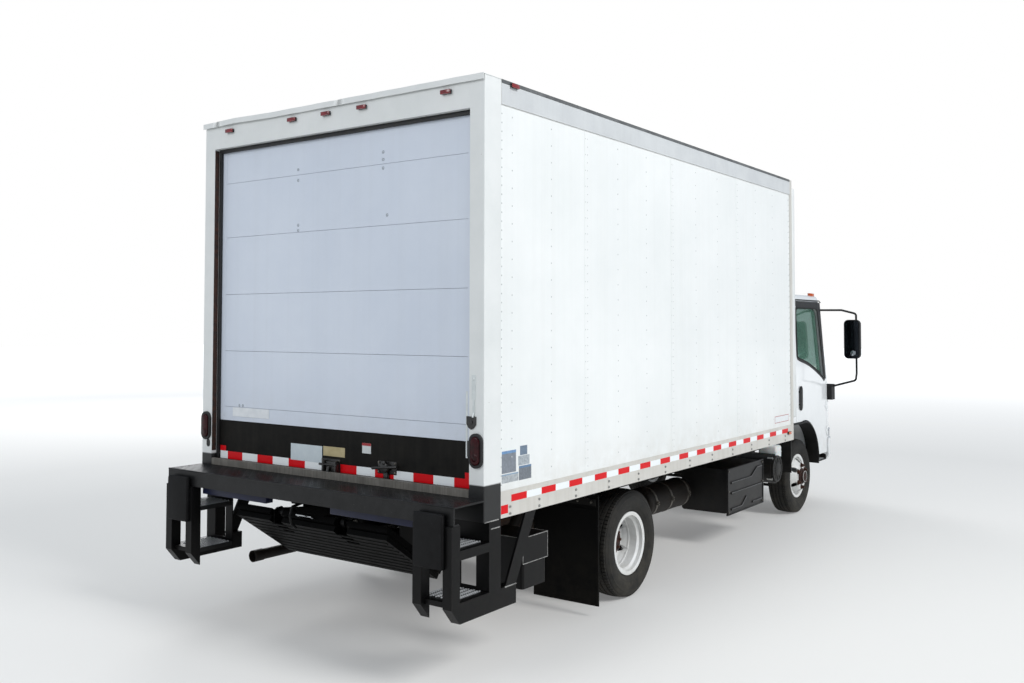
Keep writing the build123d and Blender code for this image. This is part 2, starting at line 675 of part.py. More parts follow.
def gate_link(low, high, shift_s, shift_z, half_depth):
    """A flat arm from its frame pivot to the platform's lug."""
    middle = ((GATE_PIVOT_S + GATE_END_S) / 2 + shift_s, (GATE_PIVOT_Z + GATE_END_Z) / 2 + shift_z)
    with BuildSketch(side_plane(high)) as outline:
        with Locations(middle):
            SlotCenterToCenter(GATE_ARM, 2 * half_depth, rotation=-GATE_RISE)
    extrude(outline.sketch, amount=high - low)


with BuildPart() as lift_arms:
    for side in (-1, 1):
        gate_link(*sorted((side * 246, side * 276)), 0, 0, 30)
        rod((GATE_END_S, side * 226, GATE_END_Z), (GATE_END_S, side * 334, GATE_END_Z), 14)
    # torsion tube on the pivot pin, and the crank for the cylinder
    rod((GATE_PIVOT_S, -334, GATE_PIVOT_Z), (GATE_PIVOT_S, 334, GATE_PIVOT_Z), 16)
    rod((GATE_PIVOT_S, -224, GATE_PIVOT_Z), (GATE_PIVOT_S, 224, GATE_PIVOT_Z), 38)
    for y in (-32, 18):
        side_prism([(465, 700), (535, 700), (520, 562), (480, 562)], y, y + 14)
    rod((crank_eye[0], -32, crank_eye[1]), (crank_eye[0], 32, crank_eye[1]), 12)

with BuildPart() as parallel_arms:
    for side in (-1, 1):
        gate_link(*sorted((side * 284, side * 314)), LINK_FORWARD, -LINK_DROP, 20)
        for station, z in ((GATE_PIVOT_S, GATE_PIVOT_Z), (GATE_END_S, GATE_END_Z)):
            station, z = station + LINK_FORWARD, z - LINK_DROP
            rod((station, side * 226, z), (station, side * 334, z), 14)

# the folded platform's lower face, from its heel to its nose: station and height
heel, nose = (-172, 745), (300, 420)
run = sqrt((nose[0] - heel[0]) ** 2 + (nose[1] - heel[1]) ** 2)
fall = ((nose[0] - heel[0]) / run, (nose[1] - heel[1]) / run)


def stowed_slab(near, far, low, high):
    """Corners of a slab between two distances along the stowed platform and two above its lower face."""
    corners = []
    for along, above in ((near, low), (far, low), (far, high), (near, high)):
        corners.append((heel[0] + fall[0] * along - fall[1] * above, heel[1] + fall[1] * along + fall[0] * above))
    return corners


with BuildPart() as folded_platform:
    # platform and its flip-over leaf, folded together and stowed nose down under the arms
    for near, far, low, high in ((0, run, 26, 62), (25, run - 10, -10, 22)):
        side_prism(stowed_slab(near, far, low, high), -PLATFORM_HALF, PLATFORM_HALF)
    for near in (60, 300, 520):
        side_prism(stowed_slab(near, near + 30, 20, 28), -PLATFORM_HALF + 20, PLATFORM_HALF - 20)
    # gaps for the arms, each between a pair of lugs
    for side in (-1, 1):
        low, high = sorted((side * 228, side * 332))
        block((-200, low, 640), (75, high, 830), mode=Mode.SUBTRACT)
        for y in (216, 316):
            low, high = sorted((side * y, side * (y + 14)))
            side_prism([(-130, 700), (-130, 785), (-70, 800), (15, 725), (15, 640)], low, high)
    for station, z, radius in (
        (GATE_END_S, GATE_END_Z, 14.05), (GATE_END_S + LINK_FORWARD, GATE_END_Z - LINK_DROP, 14.05),
    ):
        rod((station, -340, z), (station, 340, z), radius, mode=Mode.SUBTRACT)

with BuildPart() as cylinder_barrel:
    # closed tube on its base eye, bored for the rod
    rod(along_cylinder(55), along_cylinder(350), 34)
    rod(along_cylinder(250), along_cylinder(351), ROD_R + 1, mode=Mode.SUBTRACT)
    rod(along_cylinder(0), along_cylinder(60), 20)
    rod((CYLINDER_S, -22, CYLINDER_Z), (CYLINDER_S, 22, CYLINDER_Z), 30)
    rod((CYLINDER_S, -40, CYLINDER_Z), (CYLINDER_S, 40, CYLINDER_Z), 12)

with BuildPart() as cylinder_rod:
    # rod and the eye round the crank's pin
    rod(along_cylinder(335), along_cylinder(stroke_len - 26), ROD_R)
    rod((crank_eye[0], -14, crank_eye[1]), (crank_eye[0], 14, crank_eye[1]), 34)
    rod((crank_eye[0], -15, crank_eye[1]), (crank_eye[0], 15, crank_eye[1]), 22, mode=Mode.SUBTRACT)

# Cab

# plan sections of the cab: height, front station, half width, corner radius
CAB_SECTIONS = [
    (400, CAB_FRONT, CAB_HALF, 460), (1180, CAB_FRONT, CAB_HALF, 460), (BELT_Z, 6858, CAB_HALF, 373),
    (2400, 6440, 965, 189),
]


def half_width(z):
    """Half the width over the cab's side skins at a height."""
    lean = (CAB_SECTIONS[-1][2] - CAB_HALF) / (CAB_SECTIONS[-1][0] - CAB_SECTIONS[-2][0])
    return CAB_HALF + lean * max(0, z - CAB_SECTIONS[-2][0])


@cache
def cab_form(inset):
    """The cab's closed outer form, drawn in by an inset on every side."""
    with BuildPart() as form:
        # raked front and rounded corners, a hair wider than the side skins that trim it next
        for z, front, half, radius in CAB_SECTIONS:
            with BuildSketch(top_plane(z)):
                with BuildLine():
                    nose, side = front - inset, half - inset + 1
                    Line((nose - CAB_BOW, -side), (CAB_REAR - 20, -side))
                    Line((CAB_REAR - 20, -side), (CAB_REAR - 20, side))
                    Line((CAB_REAR - 20, side), (nose - CAB_BOW, side))
                    ThreePointArc((nose - CAB_BOW, side), (nose, 0), (nose - CAB_BOW, -side))
                make_face()
                fillet(vertices().group_by(Axis.X)[-1], radius - inset)
        loft(ruled=True)
        # side skins and the crowned roof with its rounded shoulders
        with BuildSketch(cross_plane(CAB_REAR - 50)):
            with BuildLine():
                foot, head = CAB_HALF - inset, half_width(CAB_TOP) - inset
                crown, shoulder = CAB_TOP - inset, CAB_TOP - inset - SHOULDER_DROP
                Polyline((head, shoulder), (foot, BELT_Z), (foot, 300))
                Line((foot, 300), (-foot, 300))
                Polyline((-foot, 300), (-foot, BELT_Z), (-head, shoulder))
                ThreePointArc((-head, shoulder), (0, crown), (head, shoulder))
            make_face()
            for hand in (-1, 1):
                fillet(vertices().sort_by_distance((hand * head, shoulder))[0], SHOULDER_R - inset)
        extrude(amount=CAB_FRONT - CAB_REAR + 150, mode=Mode.INTERSECT)
        # side outline: rear wall, curved brow over the windscreen, nose, sill and wheel arch
        with BuildSketch(side_plane(CAB_HALF + 40)):
            with BuildLine():
                brow = (6700, CAB_TOP - BROW_R + sqrt(BROW_R ** 2 - (6700 - BROW_START) ** 2))
                sill_end = (6207, CAB_SILL)
                arch_point = (FRONT_AXLE + ARCH_R * cos(radians(45)), ARCH_Z + ARCH_R * sin(radians(45)))
                Polyline((FRONT_AXLE, CAB_UNDER), (CAB_REAR, CAB_UNDER), (CAB_REAR, CAB_TOP))
                Line((CAB_REAR, CAB_TOP), (BROW_START, CAB_TOP))
                RadiusArc((BROW_START, CAB_TOP), brow, BROW_R)
                Polyline(brow, (7010, brow[1]), (7010, CAB_NOSE), (6500, CAB_NOSE), (6500, CAB_SILL), sill_end)
                ThreePointArc(sill_end, arch_point, (FRONT_AXLE, CAB_UNDER))
            make_face()
            if inset:
                offset(amount=-inset, kind=Kind.INTERSECTION)
            fillet(vertices().sort_by_distance((CAB_REAR, CAB_TOP))[0], SHOULDER_R - inset)
        extrude(amount=2 * (CAB_HALF + 40), mode=Mode.INTERSECT)
    return form.part


def tunnel(half, top, front):
    with BuildPart() as form:
        block((CAB_REAR - 50, -half, 300), (front, half, top))
    return form.part


cab_outer = cab_form(0)
cab_inner = cab_form(CAB_WALL) - tunnel(TUNNEL_HALF + CAB_WALL, CAB_UNDER + CAB_WALL, CAB_FRONT + 50)

door_outline = [
    (DOOR_AXIS_S, CAB_SILL - 5), (DOOR_AXIS_S, 1352), (6365, 2195), (5530, 2195),
    (5530, CAB_UNDER - 5), (5800, 400), (6300, 400),
]


def window_outline(shrink):
    """The door's window: a falling arc below, raked front edge and rounded corners."""
    with BuildSketch(side_plane(1100)) as window:
        with BuildLine():
            ThreePointArc((5600, 1606), (5960, 1522), (6425, 1362))
            Line((6425, 1362), (6300, 2125))
            Line((6300, 2125), (5600, 2125))
            Line((5600, 2125), (5600, 1606))
        make_face()
        rounds = (((5600, 1606), 35), ((6425, 1362), 18), ((6300, 2125), 110), ((5600, 2125), 60))
        for spot, radius in rounds:
            fillet(vertices().sort_by_distance(spot)[0], radius)
        if shrink:
            offset(amount=-shrink, kind=Kind.INTERSECTION)
    return window.sketch


def hinge_rod(side, z_low, z_high, radius, mode=Mode.ADD):
    rod((DOOR_AXIS_S, side * DOOR_AXIS_Y, z_low), (DOOR_AXIS_S, side * DOOR_AXIS_Y, z_high), radius, mode)


def door_cutter(grow, depth, side):
    """The door's outline, grown or shrunk by an amount, through the outer depth of one side."""
    with BuildPart() as form:
        with BuildSketch(side_plane(1100 if side > 0 else -800)):
            with BuildLine():
                Polyline(*door_outline, close=True)
            make_face()
            if grow:
                offset(amount=grow, kind=Kind.INTERSECTION)
        extrude(amount=300)
        foot, head = side * (CAB_HALF - depth), side * (half_width(HEAD_Z) - depth)
        skin = [(foot, 300), (foot, BELT_Z), (head, HEAD_Z), (side * 1100, HEAD_Z), (side * 1100, 300)]
        prism(cross_plane(CAB_REAR), skin, 1700, mode=Mode.INTERSECT)
    return form.part


def windscreen_opening(shrink):
    """The windscreen's outline seen from the front, through the whole nose."""
    with BuildPart() as form:
        with BuildSketch(cross_plane(6300)):
            with BuildLine():
                Polyline((-905, 1400), (905, 1400), (885, 2130), (-885, 2130), close=True)
            make_face()
            fillet(vertices(), 90)
            if shrink:
                offset(amount=-shrink, kind=Kind.INTERSECTION)
        extrude(amount=700)
    return form.part


def rear_window(station, width, height, depth, mode=Mode.ADD):
    with BuildSketch(cross_plane(station)) as outline:
        with Locations((0, 1850)):
            RectangleRounded(width, height, 50)
    extrude(outline.sketch, amount=depth, mode=mode)


with BuildPart() as cab_shell:
    add(cab_outer)
    add(tunnel(TUNNEL_HALF, CAB_UNDER, TUNNEL_FRONT), mode=Mode.SUBTRACT)
    add(cab_inner, mode=Mode.SUBTRACT)
    for side in (-1, 1):
        add(door_cutter(0, CAB_WALL + DOOR_GAP, side), mode=Mode.SUBTRACT)
    add(windscreen_opening(0), mode=Mode.SUBTRACT)
    rear_window(CAB_REAR - 20, 1300, 420, 90, mode=Mode.SUBTRACT)
    # tilt tube across the nose, with room for the frame's brackets round it
    for y in (-RAIL_Y - 20, RAIL_Y - 6):
        rod((TILT_S, y, TILT_Z), (TILT_S, y + 26, TILT_Z), 42, mode=Mode.SUBTRACT)
    rod((TILT_S, -TUNNEL_HALF, TILT_Z), (TILT_S, TUNNEL_HALF, TILT_Z), 18)
    # hinge barrels above and below each door barrel, on short leaves
    for side in (-1, 1):
        for low, high in HINGES:
            hinge_rod(side, low - 2, high + 2, BARREL_R + 2, mode=Mode.SUBTRACT)
            for z_low, z_high in ((low - 1 - BARREL_L, low - 1), (high + 1, high + 1 + BARREL_L)):
                hinge_rod(side, z_low, z_high, BARREL_R)
                near, far = sorted((side * 990, side * 1005))
                block((DOOR_AXIS_S, near, z_low), (DOOR_AXIS_S + 42, far, z_high))


def cab_door(side):
    with BuildPart() as form:
        add(cab_outer)
        add(door_cutter(-DOOR_GAP, CAB_WALL, side), mode=Mode.INTERSECT)
        low, high = sorted((side * 800, side * 1100))
        extrude(window_outline(0), amount=2200, mode=Mode.SUBTRACT)
        # the lower rear edge stands clear of the arch flare
        with Locations(Plane(origin=(at(FRONT_AXLE), low, ARCH_Z), z_dir=(0, 1, 0))):
            Cylinder(ARCH_R + 8, 300, align=(Align.CENTER, Align.CENTER, Align.MIN), mode=Mode.SUBTRACT)
        # pull handle: an upright bar across a pocket
        near, far = sorted((side * (CAB_HALF - 24), side * 1100))
        with BuildSketch(side_plane(far)) as pocket:
            with Locations((5656, 1193)):
                SlotOverall(238, 84, rotation=90)
        extrude(pocket.sketch, amount=far - near, mode=Mode.SUBTRACT)
        grip_low, grip_high = sorted((side * (CAB_HALF - 9), side * (CAB_HALF + 5)))
        block((5640, grip_low, 1070), (5672, grip_high, 1316))
        # hinge barrels between those of the cab, each on a short leaf
        for z_low, z_high in HINGES:
            room = BARREL_L + 3
            hinge_rod(side, z_low - room, z_high + room, BARREL_R + 2, mode=Mode.SUBTRACT)
            hinge_rod(side, z_low, z_high, BARREL_R)
            leaf_low, leaf_high = sorted((side * 990, side * 1005))
            block((DOOR_AXIS_S - 46, leaf_low, z_low), (DOOR_AXIS_S, leaf_high, z_high))
    return form.part


def door_pane(side):
    """The pane that fills the door's window, a little clear of its frame."""
    with BuildPart() as form:
        extrude(window_outline(0.5), amount=2200)
        skin = []
        for z, depth in ((BELT_Z, 30), (2300, 30), (2300, 36), (BELT_Z, 36)):
            skin.append((side * (half_width(z) - depth), z))
        prism(cross_plane(CAB_REAR), skin, 1600, mode=Mode.INTERSECT)
    return form.part


with BuildPart() as door_left:
    add(cab_door(1))

with BuildPart() as door_right:
    add(cab_door(-1))

with BuildPart() as door_glass_left:
    add(door_pane(1))

with BuildPart() as door_glass_right:
    add(door_pane(-1))

with BuildPart() as cab_glass:
    # curved windscreen in its opening, then the rear pane
    add(cab_form(24))
    add(cab_form(30), mode=Mode.SUBTRACT)
    add(windscreen_opening(1), mode=Mode.INTERSECT)
    rear_window(CAB_REAR + 20, 1298, 418, 6)


def nose_blister(proud, y_low, y_high, z_low, z_high):
    """A raised panel that follows the cab's nose between two y places and two heights."""
    with BuildPart() as form:
        add(cab_form(-proud))
        add(cab_form(-1), mode=Mode.SUBTRACT)
        block((NOSE_SIDE_S, y_low, z_low), (7000, y_high, z_high), mode=Mode.INTERSECT)
    return form.part


with BuildPart() as front_grille:
    # slatted panel between the lamps
    add(nose_blister(20, -545, 545, 850, 1040))
    for slat in range(4):
        block((6920, -515, 866 + slat * 42), (6990, 515, 888 + slat * 42), mode=Mode.SUBTRACT)
    block((6900, -545, 850), (6939, 545, 1040), mode=Mode.SUBTRACT)

with BuildPart() as headlamps:
    # units that wrap round the corners
    for side in (-1, 1):
        low, high = sorted((side * 560, side * 1010))
        add(nose_blister(14, low, high, 728, 880))
        low, high = sorted((side * 830, side * 1010))
        block((6400, low, 806), (7000, high, 881), mode=Mode.SUBTRACT)

with BuildPart() as roof_lamps:
    # five clearance lamps along the brow
    with BuildSketch(top_plane(2150)):
        with Locations(*[(6390, y) for y in (-870, -190, 0, 190, 870)]):
            SlotOverall(96, 56)
    extrude(amount=200)
    add(cab_form(-26), mode=Mode.INTERSECT)
    add(cab_form(-1), mode=Mode.SUBTRACT)

with BuildPart() as arches:
    # black flares over the front wheels, carried down behind them as guards
    for side in (-1, 1):
        low, high = sorted((side * 872, side * 1006))
        with BuildSketch(side_plane(high)):
            with BuildLine():
                outer, inner = FLARE_R, FLARE_R - 15
                Line((FRONT_AXLE + outer, 470), (FRONT_AXLE + outer, ARCH_Z))
                RadiusArc((FRONT_AXLE + outer, ARCH_Z), (FRONT_AXLE, ARCH_Z + outer), -outer)
                Polyline((FRONT_AXLE, ARCH_Z + outer), (5345, ARCH_Z + outer), (5345, 470), (5360, 470),
                         (5360, ARCH_Z + inner), (FRONT_AXLE, ARCH_Z + inner))
                RadiusArc((FRONT_AXLE, ARCH_Z + inner), (FRONT_AXLE + inner, ARCH_Z), inner)
                Polyline((FRONT_AXLE + inner, ARCH_Z), (FRONT_AXLE + inner, 470), (FRONT_AXLE + outer, 470))
            make_face()
        extrude(amount=high - low)
        # step under the door: tread, back and two ends, hung from the sill
        back, edge = side * 800, side * 990
        low, high = sorted((back, edge))
        block((6216, low, 480), (6484, high, 492))
        low, high = sorted((back, side * 806))
        block((6216, low, 480), (6484, high, CAB_SILL))
        end_plate = [(back, 480), (edge, 480), (edge, 530), (side * 930, CAB_SILL), (back, CAB_SILL)]
        for station in (6216, 6476):
            prism(cross_plane(station), end_plate, 8)

with BuildPart() as seats:
    # riser over the engine, driver's seat and double passenger seat
    block((5330, -900, 998), (5960, 900, 1290))
    for y_low, y_high in ((-860, 120), (230, 800)):
        block((5400, y_low, 1290), (5940, y_high, 1430))
        side_prism([(5300, 1400), (5430, 1380), (5330, 2010), (5230, 2010)], y_low, y_high)

with BuildPart() as dashboard:
    side_prism([(6470, 1180), (6800, 1120), (6800, 1320), (6640, 1395), (6500, 1360)], -880, 880)
    add(cab_form(CAB_WALL + 4), mode=Mode.INTERSECT)
    rod((6480, 440, 1180), (6370, 440, 1385), 36)

with BuildPart() as steering_wheel:
    tilt_axis = Vector(-0.42, 0, 0.91)
    hub_at = Vector(at(6340), 440, 1460)
    with BuildSketch(Plane(origin=hub_at, x_dir=(0, 1, 0), z_dir=tilt_axis)) as spokes:
        Circle(52)
        with PolarLocations(105, 3, start_angle=90):
            Rectangle(200, 30)
    extrude(amount=12, both=True)
    with Locations(Plane(origin=hub_at, z_dir=tilt_axis)):
        Torus(205, 14)


def mirror_head(side):
    with BuildPart() as head:
        with BuildSketch(cross_plane(6590)):
            with Locations((side * 1250, 1792)):
                RectangleRounded(170, 425, 48)
        extrude(amount=75)
        fillet(faces().sort_by(Axis.X)[-1].edges(), 24)
    return head.part


with BuildPart() as mirrors:
    # rounded heads on bent tubes from the lower mount up to the screen pillar
    for side in (-1, 1):
        add(mirror_head(side))
        # tube bends: station, y, z
        bends = (
            (6560, 1030, 1270), (6585, 1290, 1345), (6620, 1290, 1420),
            (6620, 1290, 2070), (6560, 1150, 2110), (6430, 900, 2110),
        )
        tube_run([(station, side * y, z) for station, y, z in bends], 11, 30)
        base_low, base_high = sorted((side * 940, side * 1052))
        block((6505, base_low, 1128), (6615, base_high, 1298))
    add(cab_form(-1), mode=Mode.SUBTRACT)

nodes = {
    "tyre_front_left": tyre_front_left,
    "tyres_rear_left": tyres_rear_left,
    "wheel_front_left": wheel_front_left,
    "wheels_rear_left": wheels_rear_left,
    "knuckle_left": knuckle_left,
    "tie_rod": tie_rod,
    "ladder_frame": ladder_frame,
    "leaf_springs": leaf_springs,
    "front_axle": front_axle,
    "rear_axle": rear_axle,
    "engine": engine,
    "driveline": driveline,
    "fuel_tank": fuel_tank,
    "exhaust": exhaust,
    "battery_box": battery_box,
    "air_cleaner": air_cleaner,
    "front_bumper": front_bumper,
    "mud_flaps": mud_flaps,
    "box_floor": box_floor,
    "floor_crossmembers": floor_crossmembers,
    "floor_sills": floor_sills,
    "side_panels_left": side_panels_left,
    "front_wall": front_wall,
    "roof": roof,
    "body_rails": body_rails,
    "rear_frame": rear_frame,
    "roller_door": roller_door,
    "body_lamps": body_lamps,
    "dock_plate": dock_plate,
    "step_frame_left": step_frame_left,
    "step_treads": step_treads,
    "pump_box": pump_box,
    "gate_frame": gate_frame,
    "lift_arms": lift_arms,
    "parallel_arms": parallel_arms,
    "folded_platform": folded_platform,
    "cylinder_barrel": cylinder_barrel,
    "cylinder_rod": cylinder_rod,
    "cab_shell": cab_shell,
    "door_left": door_left,
    "door_right": door_right,
    "door_glass_left": door_glass_left,
    "door_glass_right": door_glass_right,
    "cab_glass": cab_glass,
    "front_grille": front_grille,
    "headlamps": headlamps,
    "roof_lamps": roof_lamps,
    "arches": arches,
    "seats": seats,
    "dashboard": dashboard,
    "steering_wheel": steering_wheel,
    "mirrors": mirrors,
}

os.makedirs("parts", exist_ok=True)
for label, piece in nodes.items():
    piece.part.label = label
    export_step(piece.part, f"parts/{label}.step")

# the right-hand copies of the left-hand pieces
for label in (
    "tyre_front_left", "tyres_rear_left", "wheel_front_left", "wheels_rear_left", "knuckle_left",
    "side_panels_left", "step_frame_left",
):
    twin = label.replace("left", "right")
    with BuildPart() as right_copy:
        mirror(nodes[label].part, about=Plane.XZ)
    right_copy.part.label = twin
    export_step(right_copy.part, f"parts/{twin}.step")
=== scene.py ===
import json
from math import asin, cos, pi, radians, sin

import bpy
from mathutils import Matrix, Vector

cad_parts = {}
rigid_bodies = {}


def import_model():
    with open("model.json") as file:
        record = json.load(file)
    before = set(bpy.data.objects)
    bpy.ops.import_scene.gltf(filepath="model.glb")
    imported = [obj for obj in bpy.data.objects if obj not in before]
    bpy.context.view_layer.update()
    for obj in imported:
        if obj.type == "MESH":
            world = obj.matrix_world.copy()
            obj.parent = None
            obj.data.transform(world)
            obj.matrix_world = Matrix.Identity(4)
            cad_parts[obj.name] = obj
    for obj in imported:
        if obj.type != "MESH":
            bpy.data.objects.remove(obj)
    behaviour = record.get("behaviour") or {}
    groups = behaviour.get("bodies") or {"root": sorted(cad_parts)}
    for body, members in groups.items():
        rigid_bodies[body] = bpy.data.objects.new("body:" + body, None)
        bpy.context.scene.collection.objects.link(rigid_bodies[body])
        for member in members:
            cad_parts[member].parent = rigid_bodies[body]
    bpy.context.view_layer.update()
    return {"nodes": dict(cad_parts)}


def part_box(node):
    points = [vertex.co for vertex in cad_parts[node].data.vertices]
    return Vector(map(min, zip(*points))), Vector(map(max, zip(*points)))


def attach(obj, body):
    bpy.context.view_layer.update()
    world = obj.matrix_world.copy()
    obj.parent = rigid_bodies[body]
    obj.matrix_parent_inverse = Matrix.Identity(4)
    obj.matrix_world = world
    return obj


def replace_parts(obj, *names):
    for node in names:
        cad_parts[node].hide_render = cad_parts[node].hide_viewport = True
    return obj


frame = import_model()
nodes = frame["nodes"]
sides = ((1, "left"), (-1, "right"))
rear_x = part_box("rear_frame")[0].x

# Camera: where the photograph was taken from, behind the truck's right rear corner at eye height.
# The lens is a moderate wide angle, and the small shift keeps the picture's own framing.
bpy.ops.object.select_all(action="DESELECT")
bpy.ops.object.camera_add(
    location=(-7.5757, -4.4343, 1.929), rotation=(radians(92.064), radians(-0.081), radians(-54.363))
)
camera = bpy.context.object
camera.data.sensor_width = 36
camera.data.lens = 34.2
camera.data.shift_y = -0.0492
camera.data.clip_end = 200
bpy.context.scene.camera = camera
bpy.context.scene.view_settings.view_transform = "Standard"


def linear(hex_colour):
    """An sRGB hex colour as the linear RGBA that a shader takes."""
    channels = [int(hex_colour[i:i + 2], 16) / 255 for i in (1, 3, 5)]
    return [*(c / 12.92 if c <= 0.04045 else ((c + 0.055) / 1.055) ** 2.4 for c in channels), 1.0]


def add_node(tree, kind, values=None, links=None):
    """Add a shader node, set its values and options, and link its inputs to (node, output) pairs."""
    node = tree.nodes.new("ShaderNode" + kind)
    for name, value in (values or {}).items():
        if isinstance(name, int) or name in node.inputs:
            node.inputs[name].default_value = value
        else:
            setattr(node, name, value)
    for name, (source, output) in (links or {}).items():
        tree.links.new(source.outputs[output], node.inputs[name])
    return node


# Studio: a pale painted floor that fades to white far off, under soft daylight. One broad lamp
# stands behind the right rear corner, and weaker ones light the rear and open up the far side.
def new_material(name):
    """A material, its tree, its shader's inputs, and the real place in the object as a source."""
    material = bpy.data.materials.new(name)
    material.use_nodes = True
    tree = material.node_tree
    return material, tree, tree.nodes["Principled BSDF"].inputs, (add_node(tree, "TexCoord"), "Object")


def link(tree, source, socket):
    """Drive a socket by a source, which is a node and the name or number of its output."""
    tree.links.new(source[0].outputs[source[1]], socket)


def combine(tree, operation, first, second):
    """Two sources put together by a math node."""
    return add_node(tree, "Math", {"operation": operation}, {0: first, 1: second}), 0


def ranged(tree, source, low, high, to_high=1.0, to_low=0.0):
    """A source's span from low to high, stretched over a new span."""
    spans = {"From Min": low, "From Max": high, "To Min": to_low, "To Max": to_high}
    return add_node(tree, "MapRange", spans, {"Value": source}), 0


bpy.ops.mesh.primitive_grid_add(x_subdivisions=8, y_subdivisions=8, size=160, location=(0, 0, 0))
floor = bpy.context.object
floor.name = "floor"
floor_paint, tree, shader, place = new_material("matt_floor_paint")
shader["Base Color"].default_value = linear("#d2d1ce")
shader["Roughness"].default_value = 0.9
shader["Emission Color"].default_value = linear("#ffffff")
path = add_node(tree, "LightPath")
direct = combine(tree, "MAXIMUM", (path, "Is Camera Ray"), (path, "Is Glossy Ray"))
seen = combine(tree, "MAXIMUM", direct, (path, "Is Transmission Ray"))
reach = add_node(tree, "VectorMath", {"operation": "LENGTH"}, {0: place})
level = ranged(tree, (reach, "Value"), 8.0, 30.0, 0.9, 0.16)
link(tree, combine(tree, "MULTIPLY", seen, level), shader["Emission Strength"])
floor.data.materials.append(floor_paint)

world = bpy.data.worlds.new("soft_daylight")
bpy.context.scene.world = world
world.use_nodes = True
tree = world.node_tree
path = add_node(tree, "LightPath")
seen = combine(tree, "MAXIMUM", (path, "Is Camera Ray"), (path, "Is Transmission Ray"))
sky = tree.nodes["Background"]
sky.inputs["Color"].default_value = linear("#dfe8f2")
sky.inputs["Strength"].default_value = 0.62
backdrop = add_node(tree, "Background", {"Color": linear("#ffffff"), "Strength": 1.0})
choose = add_node(tree, "MixShader", {}, {0: seen, 1: (sky, 0), 2: (backdrop, 0)})
link(tree, (choose, 0), tree.nodes["World Output"].inputs["Surface"])

for name, place, aim, size, watts in (
    ("key_lamp", (-2.5, -15.5, 12.0), (0.3, 0, 1.4), 7.0, 2250),
    ("rear_lamp", (-16.0, 3.0, 8.5), (-3, 0, 1.6), 8.0, 620),
    ("fill_lamp", (9.0, 14.0, 9.0), (0, 0, 1.4), 9.0, 1050),
):
    lamp_data = bpy.data.lights.new(name, "AREA")
    lamp_data.shape = "DISK"
    lamp_data.size = size
    lamp_data.energy = watts
    lamp = bpy.data.objects.new(name, lamp_data)
    lamp.location = place
    lamp.rotation_euler = (Vector(aim) - Vector(place)).to_track_quat("-Z", "Y").to_euler()
    bpy.context.scene.collection.objects.link(lamp)


# Ladder frame: pressed channel rails, sprayed with satin black chassis paint that road dust has
# dulled. The crossmembers and hangers are fixed to the webs with flanged bolts.
def two_tone(tree, source, colour, second, low=0.0, high=1.0):
    """A source that turns from one colour to another as the given source rises."""
    ramp = add_node(tree, "ValToRGB", {}, {"Fac": source})
    for stop, level, tone in zip(ramp.color_ramp.elements, (low, high), (colour, second)):
        stop.position = level
        stop.color = linear(tone)
    return ramp, "Color"


def noise(tree, place, scale, detail, roughness=0.5):
    """A noise of the given scale as a source."""
    values = {"Scale": scale, "Detail": detail, "Roughness": roughness}
    return add_node(tree, "TexNoise", values, {"Vector": place}), "Fac"


def surface(name, colour, second, patch_mm, grain_mm, bump_mm, roughness, spread=0.1, metallic=0.0, **own):
    """A finish in two colours that mix in soft patches, with a fine grain in its height and gloss.

    patch_mm and grain_mm are the real sizes of patches and grain, bump_mm the grain's height, and
    roughness varies by spread. own holds the shader's own constants.
    """
    material, tree, shader, place = new_material(name)
    shader["Metallic"].default_value = metallic
    for socket, value in own.items():
        shader[socket.replace("_", " ")].default_value = value
    patches = noise(tree, place, 1000 / patch_mm, 7.0, 0.62)
    link(tree, two_tone(tree, patches, colour, second, 0.34, 0.68), shader["Base Color"])
    gloss = ranged(tree, patches, 0, 1, min(roughness + spread, 1.0), max(roughness - spread, 0.03))
    link(tree, gloss, shader["Roughness"])
    grain = noise(tree, place, 1000 / grain_mm, 3.0)
    relief = add_node(tree, "Bump", {"Strength": 0.6, "Distance": bump_mm / 1000}, {"Height": grain})
    link(tree, (relief, "Normal"), shader["Normal"])
    return material


def opened(material):
    """A material's tree, and the real place in the object as a source."""
    return material.node_tree, (add_node(material.node_tree, "TexCoord"), "Object")


def coated(material, colour, share):
    """Lay a colour over a finish's own as far as share says."""
    tree = material.node_tree
    base = tree.nodes["Principled BSDF"].inputs["Base Color"]
    under = (base.links[0].from_node, base.links[0].from_socket.name)
    coat = add_node(tree, "Mix", {"data_type": "RGBA", 7: linear(colour)}, {0: share, 6: under})
    link(tree, (coat, 2), base)
    return material


def below(tree, place, top_z, full_z, amount=1.0):
    """A share that grows from none at one height to its full amount at a lower one."""
    height = add_node(tree, "SeparateXYZ", {}, {"Vector": place})
    return ranged(tree, (height, "Z"), top_z, full_z, amount)


def dusted(material, dust, top_z, reach, amount):
    """Road dust over a finish: thickest low down, thinned by a noise of hand-sized patches."""
    tree, place = opened(material)
    splash = ranged(tree, noise(tree, place, 9.0, 8.0, 0.7), 0.35, 0.7)
    fade = below(tree, place, top_z, top_z - reach, amount)
    return coated(material, dust, combine(tree, "MULTIPLY", fade, splash))


def paint(material, *names):
    """Give CAD nodes their material."""
    for name in names:
        nodes[name].data.materials[0] = material


def box(name):
    """A CAD node's low and high corners, with x counted forward from the body's rear face."""
    return [corner - Vector((rear_x, 0, 0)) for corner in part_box(name)]


def begin(name):
    """A new mesh piece, open in edit mode. Its x is counted forward from the body's rear face."""
    bpy.ops.object.select_all(action="DESELECT")
    bpy.ops.object.add(type="MESH", enter_editmode=True, location=(0, 0, 0))
    bpy.ops.mesh.select_mode(type="VERT")
    bpy.context.object.name = name


